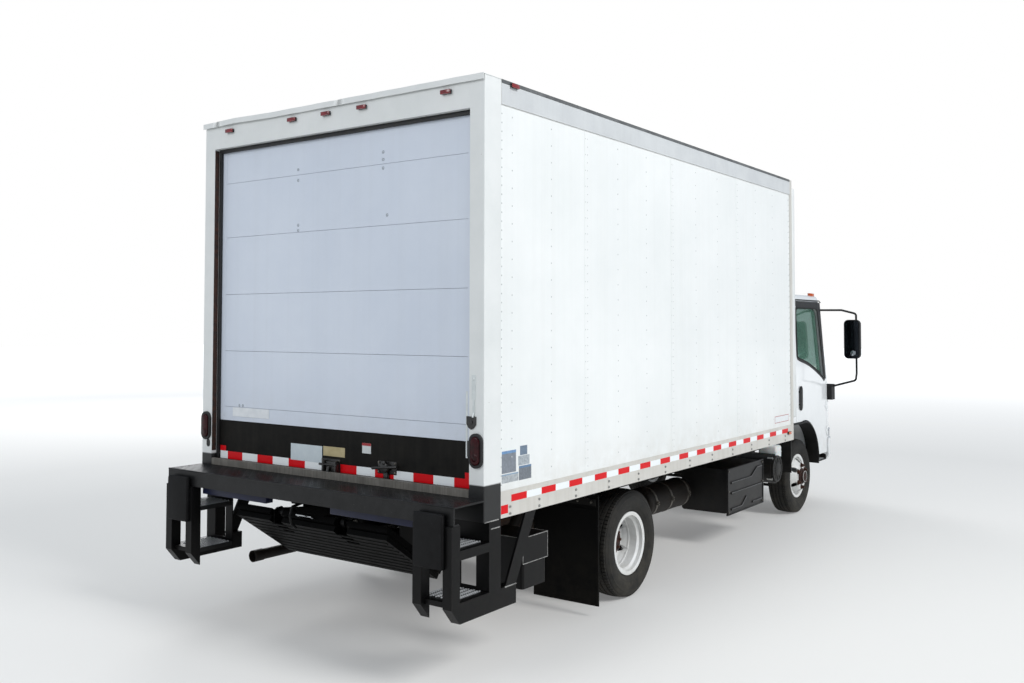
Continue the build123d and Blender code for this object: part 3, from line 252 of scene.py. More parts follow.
def slab(low, high, rounding=0.002, steps=1):
    """A cuboid between two corners, its edges rounded over, added to the open piece."""
    bpy.ops.mesh.select_all(action="DESELECT")
    middle = [(a + b) / 2 for a, b in zip(low, high)]
    bpy.ops.mesh.primitive_cube_add(size=1, location=middle, scale=[abs(b - a) for a, b in zip(low, high)])
    if rounding:
        bpy.ops.mesh.bevel(offset=rounding, segments=steps, affect="EDGES")


def bar(start, end, radius, edges=16, rounding=0.0, tip=None):
    """A round bar between two points, tapering to tip if one is given, added to the open piece."""
    bpy.ops.mesh.select_all(action="DESELECT")
    a, b = Vector(start), Vector(end)
    bpy.ops.mesh.primitive_cone_add(
        vertices=edges, radius1=radius, radius2=radius if tip is None else tip, depth=(b - a).length,
        location=(a + b) / 2, rotation=(b - a).to_track_quat("Z", "Y").to_euler(),
    )
    if rounding:
        bpy.ops.mesh.bevel(offset=rounding, segments=2, affect="EDGES")


def done(material, body="chassis", smooth=35):
    """Close the open piece: shift it to the frame's x, turn its faces out, and give it its body."""
    piece = bpy.context.object
    still_open = bpy.context.mode != "OBJECT"
    bpy.ops.object.mode_set(mode="OBJECT")
    piece.data.transform(Matrix.Translation((rear_x, 0, 0)))
    if still_open:
        bpy.ops.object.mode_set(mode="EDIT")
        bpy.ops.mesh.select_all(action="SELECT")
        bpy.ops.mesh.normals_make_consistent(inside=False)
        bpy.ops.object.mode_set(mode="OBJECT")
    bpy.ops.object.select_all(action="DESELECT")
    piece.select_set(True)
    if smooth:
        bpy.ops.object.shade_smooth_by_angle(angle=radians(smooth))
    piece.data.materials.append(material)
    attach(piece, body)
    return piece


def copies(places):
    """Repeat the open piece: places are matrices, and the copies are joined into one mesh."""
    piece = bpy.context.object
    bpy.ops.object.mode_set(mode="OBJECT")
    master = piece.data.copy()
    piece.data.transform(places[0])
    bpy.ops.object.select_all(action="DESELECT")
    piece.select_set(True)
    for place in places[1:]:
        twin = bpy.data.objects.new(piece.name, master.copy())
        twin.data.transform(place)
        bpy.context.scene.collection.objects.link(twin)
        twin.select_set(True)
    bpy.ops.object.join()


def facing(point, outward, turn=0.0):
    """The matrix that puts a fitting modelled at the origin, pointing up, on a face."""
    rotation = Vector(outward).to_track_quat("Z", "Y").to_matrix().to_4x4()
    return Matrix.Translation(Vector(point)) @ rotation @ Matrix.Rotation(turn, 4, "Z")


def bolts(name, across, height, places, material, body="chassis"):
    """Flanged bolt heads: washer face, hexagon and a turned-off crown, one at each place."""
    begin(name)
    bar((0, 0, 0), (0, 0, height * 0.25), across * 0.62, 12)
    bar((0, 0, height * 0.25), (0, 0, height), across * 0.56, 6, rounding=height * 0.12)
    copies(places)
    done(material, body)


chassis_paint = dusted(
    surface("satin_chassis_paint", "#0c0c0d", "#181817", 90, 1.2, 0.25, 0.5, Specular_IOR_Level=0.15),
    "#4a443b", 1.1, 1.0, 0.25,
)
zinc_plate = surface("zinc_plated_steel", "#8f9294", "#b5b5b0", 12, 0.6, 0.1, 0.42, metallic=0.9)
paint(chassis_paint, "ladder_frame", "tie_rod")
web_y = box("ladder_frame")[1].y
bolts("frame_bolts", 0.024, 0.014, [
    facing((station + along, side * web_y, z), (0, side, 0), station + along)
    for station in (1.33, 2.56, 3.48, 4.5, 6.7) for along in (-0.06, 0.06) for z in (0.655, 0.735)
    for side in (-1, 1)
], zinc_plate)


# Springs and axles: forged and cast parts left in thin black paint that rust has come through.
# Each spring pack is clamped to its axle by two U-bolts with nuts under the seat.
rusty_iron = dusted(
    surface("thinly_painted_iron", "#1b1714", "#5a3a26", 60, 2.5, 0.5, 0.72, 0.15), "#6f675b", 0.9, 0.9, 0.45
)
spring_steel = dusted(
    surface("painted_spring_steel", "#151413", "#33261d", 45, 1.5, 0.3, 0.6), "#6f675b", 0.9, 0.7, 0.45
)
paint(rusty_iron, "front_axle", "rear_axle", "knuckle_left", "knuckle_right", "driveline", "engine")
paint(spring_steel, "leaf_springs")
front_axle_x = sum(corner.x for corner in box("front_axle")) / 2
twin_low, twin_high = box("tyres_rear_left")
rear_axle_x = (twin_low.x + twin_high.x) / 2
axle_z = (twin_low.z + twin_high.z) / 2
begin("spring_u_bolts")
for axle_x, spring_y, top_z, foot_z in (
    (rear_axle_x, 0.47, 0.522, 0.3), (front_axle_x, 0.39, 0.416, 0.262),
):
    for side in (-1, 1):
        for x in (axle_x - 0.066, axle_x + 0.066):
            legs = [side * (spring_y - 0.045), side * (spring_y + 0.045)]
            for leg_y in legs:
                bar((x, leg_y, foot_z), (x, leg_y, top_z + 0.008), 0.008, 10)
                bar((x, leg_y, foot_z + 0.008), (x, leg_y, foot_z + 0.024), 0.016, 6)
            bar((x, legs[0], top_z + 0.008), (x, legs[1], top_z + 0.008), 0.008, 10)
        slab(
            (axle_x - 0.09, side * (spring_y - 0.06), foot_z + 0.024),
            (axle_x + 0.09, side * (spring_y + 0.06), foot_z + 0.038), 0.003,
        )
done(spring_steel)


# Tyres: black rubber, moulded with five ribs of blocks and a rounded shoulder. One tyre is turned
# from its section, its blocks are raised one by one, and it is copied to all six wheels.
def chain(points):
    """A chain of edges through points, added to the open piece and left selected."""
    bpy.ops.mesh.select_all(action="DESELECT")
    bpy.ops.mesh.primitive_plane_add(size=0.001, location=points[0])
    bpy.ops.mesh.merge(type="CENTER")
    for here, there in zip(points, points[1:]):
        step = Vector(there) - Vector(here)
        bpy.ops.mesh.extrude_vertices_move(TRANSFORM_OT_translate={"value": step})
    bpy.ops.mesh.select_linked()


def turned(outline, centre=(0, 0, 0), axis=(0, 0, 1), steps=48):
    """Spin an outline of (along, radius) pairs round an axis, in the open piece."""
    axis = Vector(axis)
    across = Vector((0, 0, 1)) if abs(axis.z) < 0.9 else Vector((1, 0, 0))
    chain([Vector(centre) + axis * along + across * radius for along, radius in outline])
    bpy.ops.mesh.spin(steps=steps, angle=2 * pi, center=centre, axis=axis)
    bpy.ops.mesh.select_linked()
    bpy.ops.mesh.remove_doubles(threshold=0.00002)


def pick(wanted):
    """Select the open piece's faces whose centre and normal pass a test."""
    bpy.ops.mesh.select_all(action="DESELECT")
    bpy.ops.object.mode_set(mode="OBJECT")
    for face in bpy.context.object.data.polygons:
        face.select = wanted(face.center, face.normal)
    bpy.ops.object.mode_set(mode="EDIT")
    bpy.ops.mesh.select_mode(type="FACE")


tyre_radius = (twin_high.z - twin_low.z) / 2
tread_depth = 0.009
tread_half = 0.086
ribs = [(-tread_half, -0.056), (-0.049, -0.019), (-0.012, 0.012), (0.019, 0.049), (0.056, tread_half)]


def tread_floor(y):
    """The radius at the bottom of the grooves, less towards the shoulders."""
    return tyre_radius - 0.0005 - tread_depth - 0.008 * (y / tread_half) ** 2


side_wall = [
    (0.0757, 0.2036), (0.0757, 0.224), (0.08, 0.229), (0.085, 0.23), (0.09, 0.24), (0.099, 0.258),
    (0.1, 0.2585), (0.1015, 0.2625), (0.101, 0.264), (0.106, 0.28), (0.1073, 0.295), (0.1065, 0.312),
    (0.104, 0.326), (0.105, 0.329), (0.1048, 0.333), (0.1022, 0.336), (0.0985, 0.348), (0.092, 0.359),
]
outline = [(-y, r) for y, r in side_wall] + [(y, tread_floor(y)) for rib in ribs for y in rib]
outline += [*reversed(side_wall), (-side_wall[0][0], side_wall[0][1])]
begin("tyre")
tyre = bpy.context.object
turned(outline, axis=(0, 1, 0), steps=84)
bpy.ops.mesh.select_all(action="SELECT")
bpy.ops.mesh.normals_make_consistent(inside=False)
for shoulder, gap in ((True, 0.0034), (False, 0.0013)):
    pick(
        lambda place, normal: abs(place.y) < tread_half and Vector((place.x, place.z)).length > 0.355
        and (abs(place.y) > 0.055) == shoulder and any(a < place.y < b for a, b in ribs)
        and abs(normal.y) < 0.35
    )
    bpy.ops.mesh.inset(use_individual=True, use_even_offset=True, thickness=gap, depth=tread_depth)
bpy.ops.object.mode_set(mode="OBJECT")

tyre_rubber = surface(
    "tyre_rubber", "#131313", "#1f1f1e", 120, 1.0, 0.15, 0.78, 0.1, Specular_IOR_Level=0.35
)
tyre_rubber = dusted(tyre_rubber, "#6a6355", 0.9, 1.0, 0.35)
front_hub_y = sum(corner.y for corner in box("tyre_front_left")) / 2
twin_ys = [twin_low.y + 0.1075, twin_high.y - 0.1075]
wheel_sets = {
    "wheel_front_left": (front_axle_x, [front_hub_y]), "wheel_front_right": (front_axle_x, [-front_hub_y]),
    "wheels_rear_left": (rear_axle_x, twin_ys), "wheels_rear_right": (rear_axle_x, [-y for y in twin_ys]),
}
for number, (body, (axle_x, places)) in enumerate(wheel_sets.items()):
    begin("moulded_" + body.replace("wheel", "tyre"))
    bpy.ops.object.mode_set(mode="OBJECT")
    bpy.context.object.data = tyre.data.copy()
    copies([
        Matrix.Translation((axle_x, y, axle_z)) @ Matrix.Rotation(radians(7 * number + 13 * at), 4, "Y")
        for at, y in enumerate(places)
    ])
    rubber = done(tyre_rubber, body, 28)
    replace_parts(rubber, body.replace("wheels_", "tyres_").replace("wheel_", "tyre_"))
bpy.data.objects.remove(tyre)


# Wheels: pressed steel discs in white enamel, with road dust low down. Six flanged nuts on studs hold
# each set, and the hub's own cover is bare, rusty iron.
wheel_enamel = dusted(
    surface("white_wheel_enamel", "#e9eaea", "#dcdcd8", 160, 6.0, 0.05, 0.3, Coat_Weight=0.3),
    "#8f8678", 0.78, 0.9, 0.5,
)
hub_rust = surface("rusted_hub_iron", "#150d0b", "#3f1f15", 22, 1.4, 0.5, 0.8, 0.12)
nut_steel = surface("rusted_nut_steel", "#1b110e", "#54301f", 14, 1.0, 0.2, 0.6, 0.15, metallic=0.3)
shield_black = surface("sooty_brake_black", "#050505", "#0b0a09", 40, 1.5, 0.1, 0.8, Specular_IOR_Level=0.1)
paint(wheel_enamel, *wheel_sets)
front_face_y = box("wheel_front_left")[1].y
rear_disc_y = (twin_ys[0] + twin_ys[1]) / 2
front_hub = [
    (-0.002, 0.0806), (0.0125, 0.0806), (0.0145, 0.078), (0.015, 0.06), (0.03, 0.058), (0.04, 0.057),
    (0.0425, 0.052), (0.0426, 0.0),
]
rear_hub = [
    (-0.065, 0.0806), (-0.001, 0.0806), (-0.0005, 0.0926), (0.013, 0.0926), (0.0156, 0.09), (0.016, 0.046),
    (0.022, 0.043), (0.0225, 0.0),
]


def on_wheel(axle_x, side, radius, degrees, y, turn):
    """The matrix for a fitting on a wheel's face, at a distance and an angle from its middle."""
    angle = radians(degrees)
    return facing(
        (axle_x + radius * cos(angle), side * y, axle_z + radius * sin(angle)), (0, side, 0), turn
    )


for body, (axle_x, places) in wheel_sets.items():
    side = 1 if places[0] > 0 else -1
    out = (0, side, 0)
    front = "front" in body
    if front:
        begin("brake_shield_" + body)
        turned(
            [(0.0, 0.084), (0.0, 0.176), (0.0025, 0.1775), (0.0025, 0.083), (0.0, 0.084)],
            (axle_x, side * (front_face_y - 0.135), axle_z), out,
        )
        done(shield_black, body)
    begin("hub_cover_" + body)
    hub_y = front_face_y - 0.0423 if front else rear_disc_y + 0.065
    turned(front_hub if front else rear_hub, (axle_x, side * hub_y, axle_z), out, 36)
    done(hub_rust, body)
    begin("wheel_nuts_" + body)
    bar((0, 0, 0), (0, 0, 0.005), 0.026, 16)
    bar((0, 0, 0.005), (0, 0, 0.024), 0.0185, 6, rounding=0.0015)
    bar((0, 0, 0.024), (0, 0, 0.036), 0.0095, 10, rounding=0.001)
    nut_y = front_face_y - 0.0422 if front else rear_disc_y + 0.0092
    copies([on_wheel(axle_x, side, 0.111, 60 * n + 30, nut_y, radians(60 * n + 30)) for n in range(6)])
    done(nut_steel, body)
    if not front:
        bolts("axle_shaft_bolts_" + body, 0.02, 0.014, [
            on_wheel(axle_x, side, 0.074, 45 * n, rear_disc_y + 0.0807, n) for n in range(8)
        ], nut_steel, body=body)


# Body rails: extruded aluminium, left bare along the bottom and painted a greyish white along the
# top. Bolts in pairs hold the bottom rail to the floor's crossmembers.
def streaked(material, colour, width_mm, share):
    """Thin marks that run down a wall, width_mm across and many times as long."""
    tree, place = opened(material)
    drawn = add_node(
        tree, "Mapping", {"Scale": (1000 / width_mm, 1000 / width_mm, 14 / width_mm)}, {"Vector": place}
    )
    runs = noise(tree, (drawn, "Vector"), 1.0, 5.0)
    return coated(material, colour, ranged(tree, runs, 0.45, 0.72, share))


mill_aluminium = streaked(
    surface("mill_finish_aluminium", "#cfccc5", "#dad8d2", 300, 2.0, 0.05, 0.45, metallic=0.3),
    "#a59c8e", 30, 0.15
)
rail_paint = streaked(
    surface("greyish_white_rail_paint", "#c3c6c8", "#cfd2d3", 300, 4.0, 0.08, 0.4), "#9d998d", 24, 0.05
)
paint(mill_aluminium, "body_rails")
body_low, body_high = box("body_rails")
rail_back, rail_front, rail_y = body_low.x + 0.001, body_high.x - 0.108, body_high.y
for side, name in sides:
    begin("top_rail_paint_" + name)
    slab((rail_back, side * rail_y, 3.1795), (rail_front, side * (rail_y + 0.0012), 3.3), 0.0004)
    done(rail_paint)
bolts("bottom_rail_bolts", 0.013, 0.007, [
    facing((station, side * rail_y, z), (0, side, 0), station * 40)
    for station in (0.241, *(0.534 + 0.4064 * n for n in range(11)))
    for z in (0.879, 0.917) for side in (-1, 1)
], zinc_plate)


# Side walls: pre-painted aluminium sheets, 48 inches wide, riveted along each seam and post edge
# at 2 inches, and to the posts between the seams at 4 inches. They wave a little between the posts.
wall_paint = surface(
    "prepainted_aluminium_sheet", "#eceeed", "#e4e7e6", 700, 380, 2.2, 0.33, 0.06, Coat_Weight=0.15
)
wall_paint = streaked(wall_paint, "#c9c8c1", 40, 0.07)
wall_paint = dusted(wall_paint, "#b9b2a4", 1.25, 0.3, 0.35)
paint(wall_paint, "side_panels_left", "side_panels_right", "front_wall")
sheet_low, sheet_high = box("side_panels_left")
seams = [1.08, 2.3, 3.52]
edges = (0.166, 4.757)
# The rivet heads are a little greyer than the wall: the grey is painted shadow round each small head.
rivet_shadow_grey = surface("rivet_heads_painted_shadow", "#b4b8b8", "#c0c3c2", 60, 2.0, 0.05, 0.4)
rivet_head = [(0.0, 0.0052), (0.0011, 0.0044), (0.0019, 0.0026), (0.0022, 0.0)]
spots = []
for station in (edges[0], *seams, edges[1]):
    shift = 0.0 if station in edges else 0.013
    for level in range(42):
        spots.append((station + shift, 1.045 + 0.0508 * level))
        if shift and level % 2:
            spots.append((station - shift, 1.045 + 0.0508 * level))
for station in (0.267 + 0.40667 * post for post in range(12)):
    if min(abs(station - seam) for seam in seams) > 0.05:
        spots += [(station, 1.09 + 0.1016 * level) for level in range(21)]
for side, name in sides:
    begin("wall_rivets_" + name)
    turned(rivet_head, steps=8)
    copies([facing((station, side * sheet_high.y, z), (0, side, 0)) for station, z in spots])
    done(rivet_shadow_grey, smooth=60)
    begin("seam_strips_" + name)
    for seam in seams:
        slab(
            (seam - 0.022, side * sheet_high.y, sheet_low.z + 0.004),
            (seam + 0.022, side * (sheet_high.y + 0.0012), sheet_high.z - 0.006), 0.0005,
        )
    done(wall_paint)


# Retroreflective tape along the sides: 6 inches red and 6 inches white by turns, set on the upper
# band of the bottom rail, with a short red piece low at the rear corner.
def tape_film(name, colour, cell_glint):
    """Prismatic film: small hexagonal cells under a clear glossy face, with a painted glint in a lighter
    colour along the cell edges.
    """
    material, tree, shader, place = new_material(name)
    shader["Roughness"].default_value = 0.35
    shader["Specular IOR Level"].default_value = 0.15
    values = {"Scale": 1000 / 6.0, "Randomness": 0.15, "feature": "DISTANCE_TO_EDGE"}
    cells = add_node(tree, "TexVoronoi", values, {"Vector": place})
    link(tree, two_tone(tree, (cells, "Distance"), cell_glint, colour, 0.0, 0.12), shader["Base Color"])
    return material


# the length of one piece, then each tape's film, slot, first station and number on a side
tape_block = 0.1524
tapes = {
    "red": (tape_film("red_prismatic_tape", "#d20c16", "#dc1c25"), "lamp_lens", 0.254, 15),
    "white": (tape_film("white_prismatic_tape", "#e9eef0", "#f5f8f8"), "white_panel", 0.4064, 14),
}
for side, name in sides:
    for colour, (film, slot, first, count) in tapes.items():
        begin(f"{colour}_side_tape_{name}")
        slab((0, 0, 0.9425), (tape_block, side * 0.0006, 0.9815), 0)
        copies([Matrix.Translation((first + 2 * tape_block * n, side * rail_y, 0)) for n in range(count)])
        done(film)
    begin("red_corner_tape_" + name)
    slab((0.156, side * rail_y, 0.884), (0.222, side * (rail_y + 0.0007), 0.932), 0)
    done(tapes["red"][0])


# Lamps on the body: moulded acrylic lenses in black rubber grommets or bezels, red behind and
# amber at the front corners. Each lens is domed and stands a little proud of its seat.
def plate(points, push, rounding=0.0, steps=1):
    """A flat plate cut to an outline and pushed out to its thickness, added to the open piece."""
    chain(points)
    bpy.ops.mesh.edge_face_add()
    bpy.ops.mesh.extrude_region_move(TRANSFORM_OT_translate={"value": Vector(push)})
    bpy.ops.mesh.select_linked()
    if rounding:
        bpy.ops.mesh.normals_make_consistent(inside=False)
        bpy.ops.mesh.bevel(offset=rounding, segments=steps, affect="EDGES")


def slot_outline(length, width, steps=10):
    """Points round an upright slot with round ends, about its middle."""
    points = []
    for end in (1, -1):
        for step in range(steps + 1):
            angle = pi * step / steps + (0 if end > 0 else pi)
            points.append((width / 2 * cos(angle), end * (length - width) / 2 + width / 2 * sin(angle)))
    return points


def rear_oval(x, y, z, length, width):
    """An upright slot's outline on a face across the truck."""
    return [(x, y + a, z + b) for a, b in slot_outline(length, width)]


grommet_rubber = surface("grommet_rubber", "#101011", "#1c1c1d", 30, 1.0, 0.1, 0.6)
dark_lens = surface(
    "dark_red_acrylic_lens", "#1d0507", "#3a0a10", 30, 5.0, 0.3, 0.3, 0.05, Coat_Weight=0.1,
    Specular_IOR_Level=0.15
)
red_lens, marker_lens, amber_lens = [
    surface(name, colour, deep, 30, flute_mm, 0.35, 0.14, 0.05, Coat_Weight=0.7)
    for name, colour, deep, flute_mm in (
        ("red_acrylic_lens", "#6e0a10", "#8f1219", 4.0), ("ruby_acrylic_lens", "#5a0a12", "#8a1620", 5.0),
        ("amber_acrylic_lens", "#b4410a", "#d0620f", 4.0),
    )
]
paint(grommet_rubber, "body_lamps")
lamp_x = box("body_lamps")[0].x
for side, name in sides:
    begin("tail_lamp_lens_" + name)
    plate(rear_oval(lamp_x + 0.002, side * 1.168, 1.248, 0.158, 0.062), (-0.012, 0, 0), 0.0085, 3)
    done(dark_lens, smooth=50)
    begin("tail_lamp_reflector_" + name)
    plate(rear_oval(lamp_x - 0.0095, side * 1.168, 1.212, 0.046, 0.038), (-0.0015, 0, 0), 0.0005)
    done(dark_lens, smooth=50)
begin("header_marker_lenses")
slab((-0.0075, -0.036, -0.0125), (0.003, 0.036, 0.0125), 0.003, 2)
copies([Matrix.Translation((lamp_x - 0.001, y, 3.252)) for y in (-0.95, -0.29, 0.02, 0.33, 0.95)])
done(marker_lens)
for side, name in sides:
    for colour, lens, station, z, slot in (
        ("red", red_lens, 0.27, 3.301, "lamp_lens"), ("amber", amber_lens, 4.695, 0.9375, "lamp_amber"),
    ):
        begin(f"{colour}_side_marker_{name}")
        slab(
            (station - 0.036, side * 1.233, z - 0.012), (station + 0.036, side * 1.238, z + 0.012), 0.002, 2
        )
        done(lens)


# Roll-up door: plywood sections with a pre-painted face, hinged on the inside, so that only their
# seams and a few carriage bolts show. A scuffed black kick panel covers the lowest section's foot.
door_paint = surface("prepainted_plywood_door", "#d6dde8", "#ccd4e1", 1100, 300, 0.5, 0.4, 0.05)
door_paint = dusted(streaked(door_paint, "#b3b6b8", 60, 0.08), "#a39d90", 1.55, 0.5, 0.25)
kick_panel = surface(
    "scuffed_black_sheet", "#0c0c0c", "#161615", 160, 3.0, 0.15, 0.55, 0.12, Specular_IOR_Level=0.1
)
kick_panel = dusted(streaked(kick_panel, "#2b2926", 30, 0.2), "#5c5449", 1.6, 0.9, 0.15)
bolt_steel = surface("weathered_bolt_steel", "#54514d", "#7d7972", 9, 0.8, 0.1, 0.5, metallic=0.8)
bolt_zinc = surface("dull_zinc_bolt_head", "#9aa2ab", "#b4bbc2", 9, 0.8, 0.1, 0.45, metallic=0.4)
paint(door_paint, "roller_door")
door_x = box("roller_door")[0].x


def on_door(out, under, y_span, z_span, rounding=0.0, steps=1):
    """A slab on the door's face, between two distances behind it."""
    slab((door_x - out, y_span[0], z_span[0]), (door_x - under, y_span[1], z_span[1]), rounding, steps)


begin("door_carriage_bolts")
turned([(0.0, 0.0105), (0.002, 0.0095), (0.0038, 0.0064), (0.0046, 0.0)], steps=12)
copies([facing((door_x, y, z), (-1, 0, 0)) for y, z in (
    (0.344, 2.94), (0.343, 2.87), (-0.404, 2.977), (-0.404, 2.932), (-0.404, 2.88), (0.339, 2.579),
    (0.339, 2.545), (-0.439, 2.594), (0.868, 1.392), (0.902, 1.392),
)])
done(bolt_zinc, smooth=60)
begin("door_kick_panel")
on_door(0.0018, 0, (-1.104, 1.104), (1.034, 1.287), 0.0006)
done(kick_panel)
begin("door_edge_strips")
for side in (-1, 1):
    on_door(0.0012, 0, (side * 1.058, side * 1.105), (1.29, 3.138), 0.0004)
done(door_paint)
begin("door_opening_seals")
for side in (-1, 1):
    on_door(0.022, 0.002, (side * 1.0975, side * 1.1155), (1.031, 3.142), 0.003, 2)
on_door(0.026, 0.002, (-1.0975, 1.0975), (3.118, 3.142), 0.003, 2)
done(grommet_rubber)
begin("jamb_rust_strip")
on_door(0.058, 0.024, (1.1145, 1.1168), (1.08, 3.135))
done(surface("rusted_jamb_edge", "#1d1714", "#4a2a1c", 30, 1.4, 0.3, 0.8))

# the tape's blocks across the door's foot, by turns red and white, with the latch between two runs
tape_blocks = [("white", 1.094, 1.016)]
for run_start, count in ((1.016, 6), (-0.05, 7)):
    for block in range(count):
        high_y = run_start - tape_block * block
        tape_blocks.append((("red", "white")[block % 2], high_y, max(high_y - tape_block, -1.094)))
for colour, (film, slot, first, count) in tapes.items():
    begin(f"{colour}_door_tape")
    for block_colour, high_y, low_y in tape_blocks:
        if block_colour == colour:
            on_door(0.0026, 0.0018, (low_y, high_y), (1.0265, 1.0775))
    if colour == "red":
        on_door(0.003, 0.0018, (1.036, 1.094), (1.078, 1.113))
        on_door(0.0034, 0.0026, (-1.094, -1.042), (1.027, 1.113))
    done(film)

# blank labels, each a plain film: name, colours, y and z spans
for name, colour, second, y_span, z_span in (
    ("door_label_white", "#c9d3d8", "#bfcad0", (0.099, 0.386), (1.071, 1.176)),
    ("door_label_gold", "#b9ab83", "#a6976d", (-0.101, 0.088), (1.12, 1.179)),
    ("door_label_small", "#d3d7d8", "#c6cacb", (-0.321, -0.248), (1.16, 1.222)),
    ("door_sticker_place", "#e2e5e8", "#d6dade", (0.601, 0.968), (1.317, 1.378)),
):
    begin(name)
    on_door(0.0032, 0, y_span, z_span, 0.0006)
    done(surface(name + "_film", colour, second, 60, 4.0, 0.02, 0.32, 0.05))
begin("door_label_band")
on_door(0.0038, 0.003, (-0.321, -0.248), (1.206, 1.222))
done(surface("red_printed_band", "#a8252b", "#8f1f25", 40, 4.0, 0.02, 0.35))


# Door latches: a folded steel lock case at the middle with its hook over the sill, and a cast
# turning handle on a round boss beside it, both in worn black paint.
latch_black = surface(
    "worn_black_latch_paint", "#0e0e0f", "#242220", 25, 1.2, 0.2, 0.42, 0.12, Coat_Weight=0.2
)
begin("door_lock_case")
on_door(0.006, 0.0018, (-0.064, 0.1), (1.01, 1.105), 0.003, 2)
on_door(0.03, 0.004, (-0.04, 0.04), (1.022, 1.092), 0.008, 3)
on_door(0.043, 0.006, (0.046, 0.06), (0.99, 1.098), 0.004, 2)
on_door(0.043, 0.006, (-0.06, -0.046), (0.99, 1.098), 0.004, 2)
bar((door_x - 0.034, -0.066, 1.072), (door_x - 0.034, 0.09, 1.072), 0.0075, 14, rounding=0.002)
bar((door_x - 0.04, 0.004, 1.06), (door_x - 0.052, 0.004, 0.996), 0.011, 14, rounding=0.003)
done(latch_black)
begin("door_turning_handle")
on_door(0.005, 0.0018, (-0.53, -0.38), (1.052, 1.128), 0.003, 2)
bar((door_x - 0.004, -0.455, 1.092), (door_x - 0.036, -0.455, 1.092), 0.03, 24, rounding=0.005)
bar((door_x - 0.03, -0.356, 1.083), (door_x - 0.03, -0.556, 1.103), 0.0095, 14, rounding=0.004)
on_door(0.02, 0.006, (-0.47, -0.436), (1.002, 1.07), 0.004, 2)
bar((door_x - 0.04, -0.455, 1.122), (door_x - 0.018, -0.455, 1.122), 0.013, 16, rounding=0.004)
done(latch_black)
bolts("latch_bolts", 0.013, 0.006, [facing((door_x - 0.005, y, z), (-1, 0, 0), y * 50) for y, z in (
    (0.088, 1.094), (0.088, 1.022), (-0.054, 1.094), (-0.054, 1.022), (-0.52, 1.118), (-0.52, 1.062),
    (-0.39, 1.118), (-0.39, 1.062),
)], bolt_steel)
begin("door_pull_strap")
on_door(0.012, 0.0095, (-0.476, -0.432), (0.992, 1.052), 0.0008)
done(grommet_rubber)


# Rear frame: welded steel posts and header in greenish-white enamel, black along the foot where
# the steps are fixed. Forks and ropes have scraped it, and rust shows at the scrapes.
def painted_below(material, colour, level, soft=0.004):
    """A second colour of paint below a level, with a masked edge."""
    tree, place = opened(material)
    return coated(material, colour, below(tree, place, level + soft, level - soft))


def chipped(material, colour, size_mm, threshold):
    """Chips down to rust or bare metal: the peaks of a noise with sharp edges."""
    tree, place = opened(material)
    spots = noise(tree, place, 1000 / size_mm, 4.0, 0.7)
    return coated(material, colour, ranged(tree, spots, threshold, threshold + 0.02))


frame_enamel = streaked(
    surface("white_frame_enamel", "#e2e4e3", "#d8dbda", 420, 5.0, 0.06, 0.4, 0.08), "#b5b2a8", 60, 0.03
)
frame_enamel = painted_below(chipped(frame_enamel, "#7a6a5c", 22, 0.745), "#0f1011", 1.061)
paint(frame_enamel, "rear_frame")
frame_top = box("rear_frame")[1].z
begin("rear_drip_rail")
slab((-0.014, -1.222, frame_top - 0.001), (0.15, 1.226, frame_top + 0.003), 0.001)
done(frame_enamel)
begin("rear_drip_lip")
for step in range(48):
    low_y = -1.222 + step * 0.051
    slab((-0.0165, low_y, frame_top - 0.03), (-0.0135, low_y + 0.051, frame_top + 0.005), 0)
bpy.ops.mesh.select_all(action="SELECT")
bpy.ops.mesh.remove_doubles(threshold=0.0002)
bpy.ops.object.mode_set(mode="OBJECT")
for vertex in bpy.context.object.data.vertices:
    bend = vertex.co.y - 0.9
    lift = 0.006 * max(0.0, cos(bend * 4.0)) ** 2 if abs(bend) < 0.39 else 0.0
    vertex.co.z += lift + 0.0006 * sin(vertex.co.y * 23)
    vertex.co.x -= lift * 0.6
done(frame_enamel, smooth=40)

begin("rear_sill_cover")
slab((-0.0015, -1.112, 0.9865), (0.02, 1.112, 1.0315), 0.001)
done(streaked(
    surface("dirty_galvanised_sill", "#6b6862", "#827e77", 70, 2.0, 0.1, 0.5, metallic=0.35),
    "#4f4a42", 14, 0.5
))

strap_paint = surface("white_painted_strap", "#d7dcdc", "#c4caca", 60, 3.0, 0.05, 0.42)
begin("right_post_fittings")
slab((-0.004, -1.162, 1.53), (0, -1.134, 1.661), 0.0015)
bar((-0.009, -1.148, 1.64), (0, -1.148, 1.64), 0.008, 12, rounding=0.001)
slab((-0.0035, -1.094, 1.204), (0, -1.107, 1.57), 0.001)
done(strap_paint)
begin("right_post_strap")
slab((-0.0035, -1.156, 1.448), (-0.001, -1.14, 1.538), 0.0008)
bar((-0.003, -1.148, 1.455), (-0.012, -1.148, 1.43), 0.005, 10)
done(strap_paint)
begin("right_post_lock_plate")
plate([(0, -1.133 + y, 1.398 + z) for y, z in (
    (-0.033, 0.036), (0.033, 0.036), (0.033, -0.008), (0.018, -0.028), (0.0, -0.037), (-0.018, -0.028),
    (-0.033, -0.008),
)], (-0.007, 0, 0), 0.002, 2)
bar((-0.006, -1.133, 1.402), (-0.013, -1.133, 1.402), 0.013, 18, rounding=0.002)
slab((-0.004, -1.131, 1.212), (0, -1.103, 1.3), 0.001)
done(latch_black)
begin("left_post_oval")
plate(rear_oval(0, 1.15, 1.13, 0.052, 0.034), (-0.004, 0, 0), 0.0015)
done(grommet_rubber)


# Labels low on the right wall: blank films in greys and blues. The long one at the front is bare
# white film inside a thin red border.
def side_label(name, s_span, z_span, proud, film):
    """A flat film on the right wall, between two stations and two heights."""
    begin(name)
    slab((s_span[0], -sheet_high.y - proud, z_span[0]), (s_span[1], -sheet_high.y, z_span[1]), 0)
    done(film)


